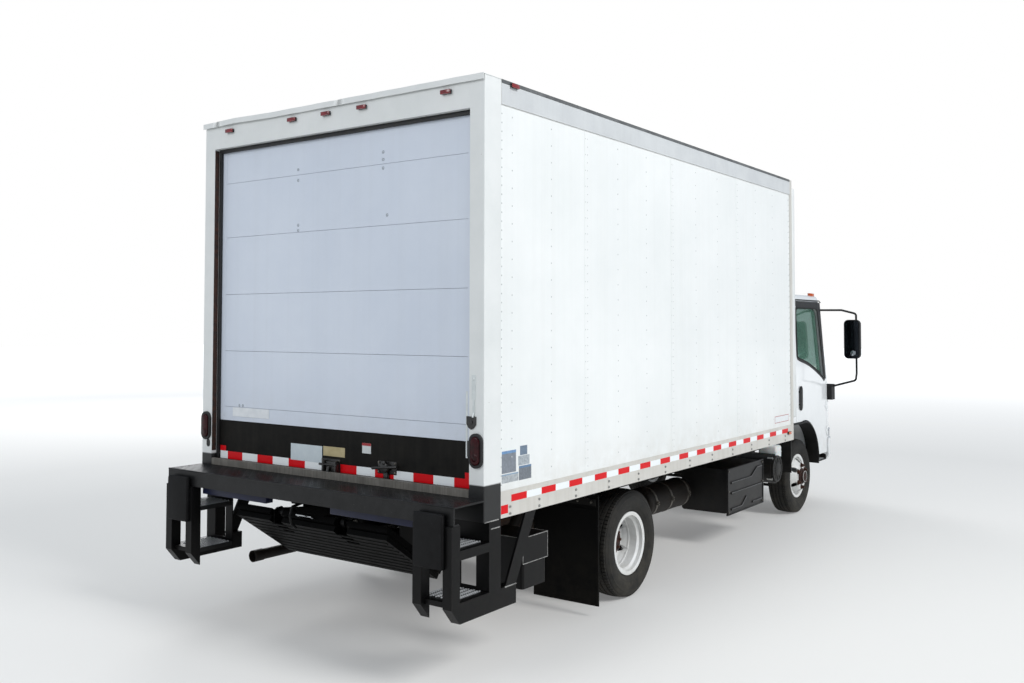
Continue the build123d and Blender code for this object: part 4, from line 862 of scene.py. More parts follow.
for name, colour, second, s_span, z_span, proud in (
    ("side_label_top", "#7f868f", "#6f757d", (0.17, 0.307), (1.105, 1.229), 0.0005),
    ("side_label_low", "#b5babd", "#8c9296", (0.17, 0.33), (1.051, 1.1), 0.0005),
    ("side_label_tall", "#6d7f92", "#5d6e80", (0.347, 0.419), (1.191, 1.244), 0.0005),
    ("side_label_wide", "#b3babf", "#838b92", (0.33, 0.442), (1.134, 1.188), 0.0005),
    ("side_label_foot", "#737a82", "#5f666d", (0.336, 0.46), (1.05, 1.13), 0.0005),
    ("side_label_header", "#6d94bd", "#5b82ab", (0.17, 0.307), (1.214, 1.229), 0.0008),
    ("side_label_band", "#5f7fa0", "#4d6c8c", (0.336, 0.46), (1.118, 1.13), 0.0008),
    ("side_label_rule", "#8ea4b8", "#7c92a6", (0.17, 0.33), (1.092, 1.1), 0.0008),
):
    film = surface(name + "_film", colour, second, 14, 3.0, 0.02, 0.3, 0.05)
    side_label(name, s_span, z_span, proud, film)
film = surface("red_border_film", "#a93a3f", "#96343a", 50, 4.0, 0.02, 0.35)
side_label("front_sticker_border", (4.359, 4.712), (1.05, 1.112), 0.0005, film)
film = surface("white_sticker_film", "#e6e9ea", "#dadfe1", 50, 4.0, 0.02, 0.3)
side_label("front_sticker_place", (4.364, 4.707), (1.055, 1.107), 0.0009, film)


# Roof: a seamless aluminium sheet over the top rails, with weathered cap strips riveted along its
# edges.
paint(dusted(
    surface("weathered_roof_sheet", "#c4c6c6", "#b2b4b3", 500, 40, 0.6, 0.5, metallic=0.3),
    "#8b8478", 4.2, 0.9, 0.7
), "roof")
cap_metal = surface("oxidised_cap_strip", "#5d5f60", "#77797a", 120, 3.0, 0.15, 0.55, metallic=0.4)
begin("roof_cap_strips")
for side in (-1, 1):
    slab((rail_back, side * 1.196, 3.3175), (rail_front, side * 1.2205, 3.3225), 0.0015)
    slab((rail_back, side * 1.2195, 3.3005), (rail_front, side * 1.2215, 3.3215), 0.0006)
done(cap_metal)
begin("roof_cap_rivets")
turned(rivet_head, steps=8)
copies([
    facing((0.2 + 0.1016 * n, side * 1.2212, 3.311), (0, side, 0)) for n in range(45) for side in (-1, 1)
])
done(cap_metal, smooth=60)


# Dock plate and steps: heavy steel behind the body, sprayed gloss black and scraped by boots and
# freight. The top is raised-pattern tread plate, and two square bars below it rest the platform.
gate_enamel = surface(
    "gloss_black_gate_enamel", "#070708", "#0e0e0f", 140, 2.0, 0.08, 0.34, 0.1, Specular_IOR_Level=0.14
)
gate_enamel = chipped(dusted(gate_enamel, "#39352e", 0.95, 0.9, 0.15), "#5d5b58", 13, 0.745)
tread_plate = surface(
    "scuffed_black_tread_plate", "#0a0a0b", "#1b1b1c", 70, 1.5, 0.15, 0.4, 0.12, metallic=0.1,
    Specular_IOR_Level=0.3
)
tread_plate = chipped(tread_plate, "#8d8b86", 10, 0.7)
paint(
    gate_enamel, "step_frame_left", "step_frame_right", "pump_box", "gate_frame", "lift_arms",
    "parallel_arms", "cylinder_barrel",
)
paint(tread_plate, "dock_plate")
deck_low, deck_high = box("dock_plate")
begin("dock_plate_pattern")
lozenge = [(-0.013, 0), (-0.006, 0.0036), (0.006, 0.0036), (0.013, 0), (0.006, -0.0036), (-0.006, -0.0036)]
plate([(x, y, -0.0002) for x, y in lozenge], (0, 0, 0.0016))
copies([
    Matrix.Translation((deck_low.x + 0.022 + 0.03 * row, -1.19 + 0.0305 * column, deck_high.z))
    @ Matrix.Rotation(radians(45 if (row + column) % 2 else -45), 4, "Z") for row in range(8)
    for column in range(
        79
    )
])
done(tread_plate, smooth=0)
# The rest bars are gloss black steel; their dark blue colour is a painted reflection of the sky.
rest_bar_sky_blue = surface(
    "black_bar_painted_sky_reflection", "#12162c", "#1a1f3a", 90, 2.0, 0.05, 0.3, 0.06, Specular_IOR_Level=0.25
)
for name, low_y, high_y in (("right", -0.9185, -0.2585), ("left", 0.2985, 0.9185)):
    begin("platform_rest_bar_" + name)
    slab((-0.2168, low_y, 0.8365), (-0.1585, high_y, 0.8866), 0.005, 3)
    done(rest_bar_sky_blue)
begin("dock_plate_edge")
bar(
    (deck_low.x + 0.0015, -1.2175, deck_high.z - 0.003),
    (deck_low.x + 0.0015, 1.2175, deck_high.z - 0.003), 0.0045, 10
)
done(tread_plate)

# rubber pads on the rear posts, vulcanised to plates that are bolted on from behind
pad_rubber = surface("worn_bumper_rubber", "#0b0b0c", "#161617", 60, 3.0, 0.4, 0.6, Specular_IOR_Level=0.15)
pad_rubber = chipped(pad_rubber, "#6c6b6f", 9, 0.74)
for side, name in sides:
    begin("dock_bumper_pad_" + name)
    slab((-0.3015, side * 0.9735, 0.6585), (-0.2745, side * 1.1715, 0.9465), 0.009, 3)
    done(pad_rubber)

# treads: cold-formed planks with rows of serrated teeth worn bright by boots; their pale colour is also a
# painted highlight
paint(surface(
    "blackened_step_tread", "#0e0e0f", "#232425", 40, 1.5, 0.2, 0.45, 0.12, Specular_IOR_Level=0.3
), "step_treads")
pale_teeth_wear_and_highlight = surface("worn_teeth_painted_highlight", "#a9abad", "#dcdedf", 12, 0.8, 0.1, 0.5, metallic=0.1)
begin("step_tread_teeth")
plate(
    [(-0.0052, -0.0036, 0), (0.0052, -0.0036, 0), (0.0052, 0.0036, 0), (-0.0052, 0.0036, 0)], (0, 0, 0.0052)
)
copies([
    Matrix.Translation((
        -0.182 + 0.0172 * tooth + (0.0086 if lean > 0 else 0), side * (0.968 + 0.038 * rib + 0.013 * lean),
        tread_top - 0.0004,
    )) @ Matrix.Rotation(lean, 4, "Z")
    for side in (-1, 1) for tread_top in (0.48, 0.75) for rib in range(6) for tooth in range(13)
    for lean in (-0.5, 0.5)
])
done(pale_teeth_wear_and_highlight, smooth=0)


# Lift gate: flat arms on greased pins, with a plain cap and a bolt at the end of each pin, and a
# chromed rod in a painted barrel. The platform's faces are ribbed steel sheet.
chrome_rod = surface("hard_chromed_rod", "#aeb2b6", "#c6c9cc", 60, 2.0, 0.02, 0.14, 0.03, metallic=1.0)
paint(chrome_rod, "cylinder_rod")
for name, joint_x, joint_z, body in (
    ("gate_pivot_caps", 0.5, 0.7, "chassis"), ("platform_pin_caps", -0.0898, 0.7703, "folded_platform"),
):
    begin(name)
    bar((0, 0, 0), (0, 0, 0.004), 0.026, 20, rounding=0.001)
    bar((0, 0, 0.004), (0, 0, 0.012), 0.012, 6, rounding=0.001)
    copies([
        facing((joint_x + x, side * 0.3335, joint_z + z), (0, side, 0), 0.3)
        for side in (-1, 1) for x, z in ((0, 0), (0.07, -0.075))
    ])
    done(bolt_steel, body)
# The folded platform is a black darker than the gate's enamel: painted shade for the shadow that it hangs in
# under the body.
platform_black_painted_shade = surface(
    "black_platform_painted_shade", "#030303", "#070707", 90, 2.0, 0.1, 0.5, 0.1, Specular_IOR_Level=0.05
)
paint(platform_black_painted_shade, "folded_platform")
begin("folded_platform_ribs")
heel, nose = Vector((-0.172, 0, 0.745)), Vector((0.3, 0, 0.42))
fall = (nose - heel).normalized()
up = Vector((-fall.z, 0, fall.x))
for rib in range(9):
    middle = heel + fall * (0.075 + 0.056 * rib) - up * 0.0112 + Vector((0, -0.62, 0))
    section = ((-0.01, 0.0025), (-0.006, -0.0025), (0.006, -0.0025), (0.01, 0.0025))
    plate([middle + fall * a + up * b for a, b in section], (0, 1.24, 0))
done(platform_black_painted_shade, "folded_platform", 0)
begin("platform_grab_handle")
for handle_y in (-0.06, 0.06):
    start = heel + fall * 0.012 + up * 0.035 + Vector((0, handle_y, 0))
    bar(start, start - fall * 0.045, 0.006, 10)
grab = heel - fall * 0.033 + up * 0.035
bar(grab + Vector((0, -0.066, 0)), grab + Vector((0, 0.066, 0)), 0.006, 10)
done(chrome_rod, "folded_platform")
begin("platform_hold_strap")
bends = [
    (0.02, 0.04, 0.885), (-0.235, 0.04, 0.85), (-0.252, 0.04, 0.8), (-0.236, 0.04, 0.745),
    (-0.205, 0.04, 0.72)
]
for start, end in zip(bends, bends[1:]):
    bar(start, end, 0.0085, 12)
done(gate_enamel)


# Pump box and step frames: folded and welded sheet steel, whose edges and weld beads are rubbed to
# bare metal.
worn_edge = surface("rubbed_edge_steel", "#5b5a58", "#c4c3bf", 9, 1.0, 0.1, 0.45, metallic=0.2)
begin("pump_box_edges")
for z in (0.562, 0.7105):
    bar((0.392, -1.2025, z), (0.648, -1.2025, z), 0.0022, 8)
for x, inset in ((0.392, 0.0008), (0.648, -0.0008)):
    bar((x + inset, -1.2022, 0.562), (x + inset, -1.2022, 0.7105), 0.0022, 8)
    bar((x, -1.2022, 0.7105), (x, -0.9, 0.7105), 0.0022, 8)
done(worn_edge)
begin("step_frame_weld_beads")
for side in (-1, 1):
    for low_s, high_s, z in ((0.006, 0.132, 0.8625), (0.062, 0.144, 0.82), (0.192, 0.3, 0.478)):
        bar((low_s, side * 1.2188, z), (high_s, side * 1.2188, z), 0.0034, 8)
done(worn_edge)


# Fuel tank and battery box: the tank is a rolled steel drum of rounded section under two straps,
# with a moulded filler cap. The batteries sit behind a pressed cover with stiffening beads.
paint(dusted(
    surface("satin_black_tank_paint", "#0b0b0c", "#161617", 180, 2.0, 0.08, 0.42, Specular_IOR_Level=0.3),
    "#5c5449", 0.75, 0.7, 0.3,
), "fuel_tank")
cover_paint = dusted(
    surface(
        "pressed_cover_black", "#0c0c0d", "#181819", 120, 2.5, 0.15, 0.45, 0.1, Specular_IOR_Level=0.35
    ), "#5c5449", 0.85, 0.9, 0.2,
)
paint(cover_paint, "battery_box")
cap_axis = Vector((0, 1, 0.35)).normalized()
cap_base = Vector((3.82, 0.89, 0.64)) + cap_axis * 0.0685
begin("fuel_filler_cap")
turned(
    [(0.0, 0.0465), (0.018, 0.0455), (0.022, 0.042), (0.0235, 0.03), (0.024, 0.0)], cap_base, cap_axis, 32
)
done(pad_rubber, smooth=40)
begin("fuel_cap_grips")
slab((-0.0025, -0.0475, 0.001), (0.0025, 0.0475, 0.0215), 0.0008)
copies([facing(cap_base, cap_axis, radians(15 * n)) for n in range(12)])
done(pad_rubber)
bolts(
    "tank_strap_bolts", 0.019, 0.016,
    [facing((station, 0.9075, 0.655), (0, 1, 0), station) for station in (3.1225, 3.6825)], zinc_plate,
)
bolts("battery_cover_bolts", 0.017, 0.01, [
    facing((station, -1.0015, z), (0, -1, 0), station)
    for station in (3.8, 4.575) for z in (0.31, 0.49, 0.665)
], bolt_steel)
begin("battery_cover_rim")
for low_s, high_s, low_z, high_z in (
    (3.776, 4.599, 0.68, 0.69), (3.776, 4.599, 0.2855, 0.295), (3.776, 3.786, 0.295, 0.68),
    (4.589, 4.599, 0.295, 0.68),
):
    slab((low_s, -1.0085, low_z), (high_s, -1.0015, high_z), 0.002, 2)
done(cover_paint)
begin("battery_cover_bead_wear")
for run in (
    ((3.85, 0.56), (4.3, 0.56), (4.44, 0.63), (4.56, 0.63)), ((3.85, 0.47), (4.56, 0.47)),
    ((3.85, 0.33), (4.08, 0.33), (4.19, 0.4)), ((4.33, 0.33), (4.56, 0.33)),
):
    for (s, z), (next_s, next_z) in zip(run, run[1:]):
        bar((s, -1.0098, z + 0.004), (next_s, -1.0098, next_z + 0.004), 0.0024, 6)
done(surface("rubbed_bead_paint", "#3c3c3d", "#77777a", 60, 2.0, 0.05, 0.35))


# Air cleaner and coolant bottle: a moulded black canister whose end cover is ribbed and clipped on,
# and a blow-moulded bottle of milky polyethylene with a blue screw cap.
moulded_black = dusted(
    surface(
        "moulded_black_polypropylene", "#0d0d0d", "#171716", 70, 1.2, 0.15, 0.5, 0.08, Specular_IOR_Level=0.3
    ), "#5c5449", 0.9, 0.9, 0.2,
)
paint(moulded_black, "air_cleaner")
cover_centre = (5.01, -0.99, 0.548)
begin("air_cleaner_cover")
turned([
    (-0.001, 0.1275), (0.003, 0.1265), (0.0055, 0.118), (0.004, 0.108), (0.001, 0.106), (0.0015, 0.07),
    (0.006, 0.064), (0.0085, 0.056), (0.0085, 0.0),
], cover_centre, (0, -1, 0))
done(moulded_black, smooth=40)
begin("air_cleaner_ribs")
slab((0.064, -0.0022, 0.0005), (0.106, 0.0022, 0.0052), 0.0008)
copies([facing(cover_centre, (0, -1, 0), radians(30 * n)) for n in range(12)])
done(moulded_black)
begin("air_cleaner_clips")
slab((0.1415, -0.011, -0.066), (0.145, 0.011, -0.012), 0.001)
slab((0.127, -0.011, -0.014), (0.145, 0.011, -0.0105), 0.001)
copies([facing(cover_centre, (0, -1, 0), radians(90 * n + 40)) for n in range(4)])
done(zinc_plate)
begin("coolant_bottle")
slab((5.003, -0.9855, 0.6385), (5.147, -0.7985, 0.7662), 0.024, 4)
slab((5.0025, -0.9862, 0.702), (5.1475, -0.7978, 0.705), 0.0012)
bar((5.1, -0.9, 0.76), (5.1, -0.9, 0.7905), 0.0308, 24, rounding=0.001)
done(surface(
    "milky_polyethylene", "#dfe2df", "#cfd3d0", 60, 2.0, 0.08, 0.35, 0.06, Subsurface_Weight=0.25,
    Subsurface_Scale=0.03
))
begin("coolant_bottle_cap")
turned(
    [(0.0, 0.035), (0.017, 0.0345), (0.02, 0.032), (0.0215, 0.024), (0.022, 0.0)],
    (5.1, -0.9, 0.78), steps=28,
)
for n in range(14):
    grip_x, grip_y = 5.1 + 0.0352 * cos(2 * pi * n / 14), -0.9 + 0.0352 * sin(2 * pi * n / 14)
    bar((grip_x, grip_y, 0.781), (grip_x, grip_y, 0.797), 0.0018, 6)
done(
    surface("blue_polypropylene_cap", "#1d4f8f", "#245a9c", 30, 1.5, 0.08, 0.35), smooth=40
)


# Exhaust: a steel canister dulled by heat and banded to its hangers, and mild-steel pipes gone
# brown. Their near-black colour is partly painted shade from under the body.
heat_dulled_and_shaded = dusted(
    surface("heat_dulled_steel_painted_shade", "#0f0e0d", "#1f1a17", 80, 2.0, 0.15, 0.6, 0.12, Specular_IOR_Level=0.2),
    "#3a342b", 0.8, 0.7, 0.25,
)
paint(heat_dulled_and_shaded, "exhaust")
begin("exhaust_band_clamps")
for station in (2.985, 3.26, 3.575):
    turned(
        [(0.0, 0.1222), (0.0, 0.125), (0.028, 0.125), (0.028, 0.1222)], (station, -0.6, 0.48), (1, 0, 0), 40,
    )
    for ear_z in (0.468, 0.486):
        slab((station + 0.003, -0.742, ear_z), (station + 0.025, -0.72, ear_z + 0.006), 0.001)
    bar((station + 0.014, -0.734, 0.458), (station + 0.014, -0.734, 0.502), 0.0045, 8)
done(bolt_steel)
begin("tailpipe_tip")
turned(
    [(-0.03, 0.0352), (-0.03, 0.0385), (0.05, 0.0385), (0.05, 0.0352)], (0.105, 0.745, 0.404), (-1, 0, 0), 28
)
done(heat_dulled_and_shaded)
# A near-black disc closes the pipe a little way in: soot, and painted shade for the depth of the bore.
begin("tailpipe_bore")
bar((0.0996, 0.745, 0.404), (0.098, 0.745, 0.404), 0.0345, 24)
done(surface("bore_disc_soot_and_shade", "#050505", "#0b0a09", 20, 1.5, 0.1, 0.9))


# Mud flaps: moulded rubber sheets with a raised border, clamped to hangers by a bolted bar. The
# boards and steel under the floor are left as they were built.
flap_rubber = dusted(
    surface("mud_flap_rubber", "#060606", "#0c0c0b", 200, 2.5, 0.2, 0.62, 0.1, Specular_IOR_Level=0.08),
    "#443e35", 0.6, 0.6, 0.25,
)
paint(flap_rubber, "mud_flaps")
begin("mud_flap_borders")
for side in (-1, 1):
    for x, proud in ((1.395, -0.0025), (1.407, 0.0025)):
        for low_y, high_y, low_z, high_z in (
            (0.594, 1.108, 0.077, 0.095), (0.594, 1.108, 0.7, 0.712), (0.594, 0.608, 0.095, 0.7),
            (1.094, 1.108, 0.095, 0.7),
        ):
            slab((x, side * low_y, low_z), (x + proud, side * high_y, high_z), 0.001)
done(flap_rubber)
begin("mud_flap_clamps")
for side in (-1, 1):
    slab((1.39, side * 0.61, 0.735), (1.3952, side * 1.092, 0.78), 0.0015)
done(chassis_paint)
bolts("mud_flap_bolts", 0.015, 0.009, [
    facing((1.39, side * (0.64 + 0.105 * n), 0.7575), (-1, 0, 0), n) for side in (-1, 1) for n in range(5)
], bolt_steel)
paint(
    dusted(
        surface("undercoated_sill_steel", "#141414", "#1f1e1d", 90, 2.5, 0.3, 0.65),
        "#6f675b", 0.95, 0.3, 0.4
    ),
    "floor_crossmembers", "floor_sills",
)

# laminated hardwood boards, 32 mm wide and in unlike browns, run along the truck
boards = surface("laminated_oak_boards", "#8a6643", "#6f4f32", 900, 3.0, 0.2, 0.55)
tree, place = opened(boards)
drawn = add_node(tree, "Mapping", {"Scale": (2.0, 1000 / 32, 1.0)}, {"Vector": place})
strips = add_node(tree, "TexVoronoi", {"Scale": 1.0, "feature": "F1"}, {"Vector": (drawn, "Vector")})
tone = add_node(tree, "SeparateColor", {}, {"Color": (strips, "Color")})
base = tree.nodes["Principled BSDF"].inputs["Base Color"]
link(tree, two_tone(tree, (tone, "Red"), "#6b4a2d", "#9a7650"), base)
paint(boards, "box_floor")


# Front corner posts of the body: rounded extrusions in the rear frame's white enamel, which close
# the edges of the walls.
front_wall_x = box("front_wall")[1].x
begin("front_corner_posts")
for side in (-1, 1):
    slab((front_wall_x - 0.03, side * 1.15, 1.066), (front_wall_x + 0.048, side * 1.2192, 3.25), 0.018, 4)
done(frame_enamel)


# Cab: welded steel sheet in white enamel. A drip gutter runs over each door, and black weatherstrip
# and frames close the windows.
cab_enamel = dusted(
    surface("white_cab_enamel", "#eceeef", "#e5e8e9", 600, 200, 0.15, 0.22, 0.05, Coat_Weight=0.5),
    "#a39c8e", 1.15, 0.6, 0.3,
)
black_trim = surface(
    "black_frame_film", "#0a0a0b", "#141415", 60, 2.0, 0.05, 0.42, 0.08, Specular_IOR_Level=0.3
)
weather_rubber = surface(
    "weatherstrip_rubber", "#0c0c0c", "#171717", 30, 1.2, 0.1, 0.62, Specular_IOR_Level=0.3
)
paint(cab_enamel, "cab_shell", "door_left", "door_right", "front_bumper")
door_half = box("door_left")[1].y - 0.005
belt_z, cab_half, side_lean = 1.355, 0.998, 0.0316


def on_skin(side, points, proud=0.0002):
    """Points (station, z) on the cab's side: upright to the belt, then leaning in to the roof."""
    return [(s, side * (cab_half - side_lean * max(0.0, z - belt_z) + proud), z) for s, z in points]


def arc(centre, radius, start, steps, share=0.5):
    """Points along an arc, from a start given in turns of pi and over a share of pi."""
    angles = [pi * (start + share * step / steps) for step in range(steps + 1)]
    return [(centre[0] + radius * cos(angle), centre[1] + radius * sin(angle)) for angle in angles]


def window_edge(grow):
    """The door window's outline, with rounded corners and a bowed foot, grown by an amount."""
    foot = [
        (5.6 + 0.825 * step / 9, 1.606 - 0.244 * step / 9 + 0.036 * sin(pi * step / 9) - grow)
        for step in range(1, 9)
    ]
    return [
        *arc((5.635, 1.641), 0.035 + grow, 1.0, 4), *foot, *arc((6.407, 1.38), 0.018 + grow, 1.5, 4),
        *arc((6.19, 2.015), 0.11 + grow, 0.0, 4), *arc((5.66, 2.065), 0.06 + grow, 0.5, 4),
    ]


for side, name in sides:
    body = "door_" + name
    for piece, grow, width, proud, material, slot in (
        ("window_frame_", 0.026, 0.03, 0.0022, black_trim, "black_plastic"),
        ("window_seal_", 0.004, 0.012, 0.0045, weather_rubber, "rubber"),
    ):
        begin(piece + name)
        chain(on_skin(side, window_edge(grow)))
        bpy.ops.mesh.select_all(action="SELECT")
        bpy.ops.mesh.edge_face_add()
        bpy.ops.mesh.select_mode(type="FACE")
        bpy.ops.mesh.inset(thickness=width, use_even_offset=True)
        bpy.ops.mesh.delete(type="FACE")
        bpy.ops.mesh.select_all(action="SELECT")
        bpy.ops.mesh.extrude_region_move(TRANSFORM_OT_translate={"value": (0, side * proud, 0)})
        done(material, body)
    begin("door_pillar_trim_" + name)
    for proud, points in (
        (0.0026, ((6.392, 1.392), (6.476, 1.358), (6.366, 2.189), (6.25, 2.189), (6.258, 2.12))),
        (0.002, ((5.536, 2.138), (6.256, 2.138), (6.251, 2.189), (5.536, 2.189))),
    ):
        plate(on_skin(side, points), (0, side * proud, 0), 0.0006)
    done(black_trim, body)
    begin("door_gutter_" + name)
    gutter = on_skin(side, ((5.4, 2.196), (5.52, 2.208), (6.34, 2.208), (6.385, 2.19)), 0.003)
    for start, end in zip(gutter, gutter[1:]):
        bar(start, end, 0.0055, 8)
    done(black_trim, "cab")
    begin("door_handle_" + name)
    cover = [*arc((5.656, 1.273), 0.046, 0.0, 8, 1.0), *arc((5.656, 1.113), 0.046, 1.0, 8, 1.0)]
    plate([(s, side * (door_half + 0.0003), z) for s, z in cover], (0, side * 0.0042, 0), 0.0015, 2)
    slab((5.6388, side * (door_half - 0.01), 1.069), (5.6732, side * (door_half + 0.0085), 1.317), 0.007, 3)
    for z in (1.12, 1.25):
        slab(
            (5.636, side * (door_half - 0.0235), z), (5.676, side * (door_half - 0.0045), z + 0.016), 0.003
        )
    done(black_trim, body)


# Glass: green-tinted laminated and toughened panes. The windscreen is set in black rubber, and two
# wipers park along its foot.
pane, tree, shader, place = new_material("green_tinted_glass")
for socket, value in (("Transmission Weight", 0.92), ("IOR", 1.45), ("Specular IOR Level", 0.6)):
    shader[socket].default_value = value
film = noise(tree, place, 14.0, 6.0)
link(tree, two_tone(tree, film, "#86a79b", "#9db8ae"), shader["Base Color"])
link(tree, ranged(tree, film, 0, 1, 0.07, 0.02), shader["Roughness"])
paint(pane, "door_glass_left", "door_glass_right", "cab_glass")


def on_nose(y, z, proud=0.0, end_z=None):
    """A point on the cab's raked, bowed front above the belt, at end_z if that is given."""
    half = cab_half - side_lean * (z - belt_z)
    radius = 0.373 - 0.176 * (z - belt_z)
    corner = max(0.0, abs(y) - (half - radius))
    sweep = 0.035 * (y / half) ** 2 + radius - max(radius ** 2 - corner ** 2, 0.0) ** 0.5
    return 6.858 - 0.4 * (z - belt_z) - sweep + proud, y, z if end_z is None else end_z


begin("windscreen_rubber")
screen = [
    *arc((0.815, 1.49), 0.098, 1.5, 6), *arc((0.795, 2.04), 0.098, 0.0, 6),
    *arc((-0.795, 2.04), 0.098, 0.5, 6),
    *arc((-0.815, 1.49), 0.098, 1.0, 6),
]
for start, end in zip(screen, [*screen[1:], screen[0]]):
    run = Vector(end) - Vector(start)
    parts = max(1, round(run.length / 0.09))
    ends = [on_nose(*(Vector(start) + run * part / parts), 0.001) for part in range(parts + 1)]
    for here, there in zip(ends, ends[1:]):
        bar(here, there, 0.0125, 8)
done(weather_rubber, "cab")
begin("windscreen_wipers")
for pivot_y, tip_y in ((0.62, 0.02), (-0.08, -0.68)):
    pivot = on_nose(pivot_y, 1.385, 0.03, 1.372)
    bar(on_nose(pivot_y, 1.385, -0.002, 1.372), pivot, 0.016, 16, rounding=0.003)
    bar(pivot, on_nose(tip_y, 1.44, 0.034), 0.008, 10, tip=0.005)
    blade = [on_nose(tip_y + 0.34 - 0.1 * step, 1.44, 0.018, 1.436) for step in range(6)]
    for start, end in zip(blade, blade[1:]):
        bar(start, end, 0.0065, 8)
done(black_trim, "cab")


# Nose: a slatted grille, clear headlamp units that wrap round the corners, with silvered turn lamps
# along their foot. The bumper's two lamps sit in round holes.
lamp_clear = surface(
    "clear_polycarbonate_lamp", "#a2a8ae", "#b4babf", 300, 7.0, 0.2, 0.08, 0.03, metallic=0.5,
    Coat_Weight=1.0
)
lamp_chrome = surface("vacuum_chromed_bowl", "#c3c6ca", "#d9dbdd", 200, 5.0, 0.05, 0.1, 0.04, metallic=1.0)
paint(lamp_clear, "headlamps")
paint(moulded_black, "front_grille")
paint(amber_lens, "roof_lamps")
lens_proud = 0.0014
begin("turn_lamp_lenses")
bpy.ops.object.mode_set(mode="OBJECT")
lenses = bpy.context.object
lenses.data = nodes["headlamps"].data.copy()
lenses.data.materials.clear()
lenses.data.transform(Matrix.Translation((-rear_x, 0, 0)))
bpy.ops.object.mode_set(mode="EDIT")
bpy.ops.mesh.select_all(action="SELECT")
bpy.ops.mesh.remove_doubles(threshold=0.00002)
pick(lambda place, normal: not (abs(place.y) > 0.84 and place.z < 0.8055 and normal.z < 0.9))
bpy.ops.mesh.delete(type="FACE")
bpy.ops.mesh.select_all(action="SELECT")
bpy.ops.transform.shrink_fatten(value=lens_proud)
bpy.ops.object.mode_set(mode="OBJECT")
thick = lenses.modifiers.new("thickness", "SOLIDIFY")
thick.thickness = lens_proud * 0.8
thick.offset = -1.0
bpy.ops.object.modifier_apply(modifier=thick.name)
done(lamp_chrome, "cab")
nose_face = 6.945
lamp_bend_y, lamp_bend = 0.538, 0.46


def on_lamp(y, z):
    """A point on the front of the headlamp units, and the way that it faces."""
    corner = max(0.0, abs(y) - lamp_bend_y)
    sweep = 0.035 * (y / cab_half) ** 2 + lamp_bend - (lamp_bend ** 2 - corner ** 2) ** 0.5
    x = nose_face + 0.0175 - sweep
    swing = asin(corner / lamp_bend) * (1 if y > 0 else -1)
    return (x, y, z), (cos(swing), sin(swing), 0)


begin("headlamp_bowls")
for side in (-1, 1):
    for lamp_y in (0.645, 0.765):
        turned([
            (-0.004, 0.05), (0.004, 0.048), (0.005, 0.045), (-0.001, 0.041), (0.001, 0.025),
            (0.0045, 0.0125), (0.0055, 0.0),
        ], *on_lamp(side * lamp_y, 0.804), 32)
done(lamp_chrome, "cab", 50)
begin("headlamp_bezels")
bezel_y, bezel_z = (0.566, 0.8285), (0.7305, 0.8775)
for side in (-1, 1):
    for z in bezel_z:
        marks = [on_lamp(side * (bezel_y[0] + 0.0375 * step), z)[0] for step in range(8)]
        for start, end in zip(marks, marks[1:]):
            bar(start, end, 0.0042, 6)
    for y in bezel_y:
        bar(on_lamp(side * y, bezel_z[0])[0], on_lamp(side * y, bezel_z[1])[0], 0.0042, 6)
done(black_trim, "cab")
begin("bumper_lamps")
for side in (-1, 1):
    turned(
        [(-0.03, 0.051), (-0.004, 0.051), (0.0, 0.047), (0.003, 0.03), (0.004, 0.0)],
        (6.992, side * 0.43, 0.6), (1, 0, 0), 32,
    )
done(lamp_clear, smooth=50)
begin("nose_panel_lines")
for z in (1.085, 0.715):
    slab((nose_face - 0.002, -0.54, z), (nose_face + 0.001, 0.54, z + 0.006), 0.0005)
done(black_trim, "cab")


# Arches and steps on the cab: black moulded flares with a rolled edge round each wheel, and bright
# ribs across the steps.
paint(moulded_black, "arches")
arch_z, arch_radius = 0.52, 0.419
begin("arch_flare_lips")
for side in (-1, 1):
    curve = [*arc((front_axle_x, arch_z), arch_radius, 0.0, 12), (5.352, arch_z + arch_radius)]
    lip = [(x, side * 1.0055, z) for x, z in curve]
    for start, end in zip(lip, lip[1:]):
        bar(start, end, 0.0065, 8)
done(moulded_black, "cab")
# The grips share the pale tooth steel: wear with a painted highlight.
begin("cab_step_grips")
for side in (-1, 1):
    for station in (6.24 + 0.0265 * rib for rib in range(9)):
        slab((station, side * 0.815, 0.4915), (station + 0.008, side * 0.975, 0.4955), 0.001)
done(pale_teeth_wear_and_highlight, "cab")


# Mirrors: black moulded heads on a bent tube, with dark-coated glass that faces back and a small
# round wide-angle glass near the foot. The small glass's pale colour is a painted reflection.
mirror_plastic = surface(
    "grained_mirror_plastic", "#131314", "#1e1e1f", 60, 1.2, 0.12, 0.55, Specular_IOR_Level=0.3
)
mirror_coat = surface("dark_silvered_glass", "#1b1e22", "#22262b", 200, 60, 0.01, 0.06, 0.02, metallic=0.9)
reflection_spot_glass = surface("mirror_spot_painted_reflection", "#9aa0a6", "#b9bdc1", 80, 30, 0.01, 0.08, 0.02, metallic=0.9)
paint(mirror_plastic, "mirrors", "steering_wheel")
for side, name in sides:
    begin("mirror_glass_" + name)
    corners = ((0.04, 0.172, 0.0), (-0.04, 0.172, 0.5), (-0.04, -0.172, 1.0), (0.04, -0.172, 1.5))
    rim = [(y, z, pi * (start + step / 12)) for y, z, start in corners for step in range(7)]
    plate([
        (6.5895, side * 1.25 + y + 0.034 * cos(angle), 1.792 + z + 0.03 * sin(angle)) for y, z, angle in rim
    ], (-0.0025, 0, 0), 0.0008)
    done(mirror_coat, "cab")
    begin("wide_angle_glass_" + name)
    turned(
        [(0.0, 0.03), (0.004, 0.028), (0.0055, 0.02), (0.006, 0.0)], (6.5872, side * 1.262, 1.64),
        (-1, 0, 0), 28,
    )
    done(reflection_spot_glass, "cab", 50)


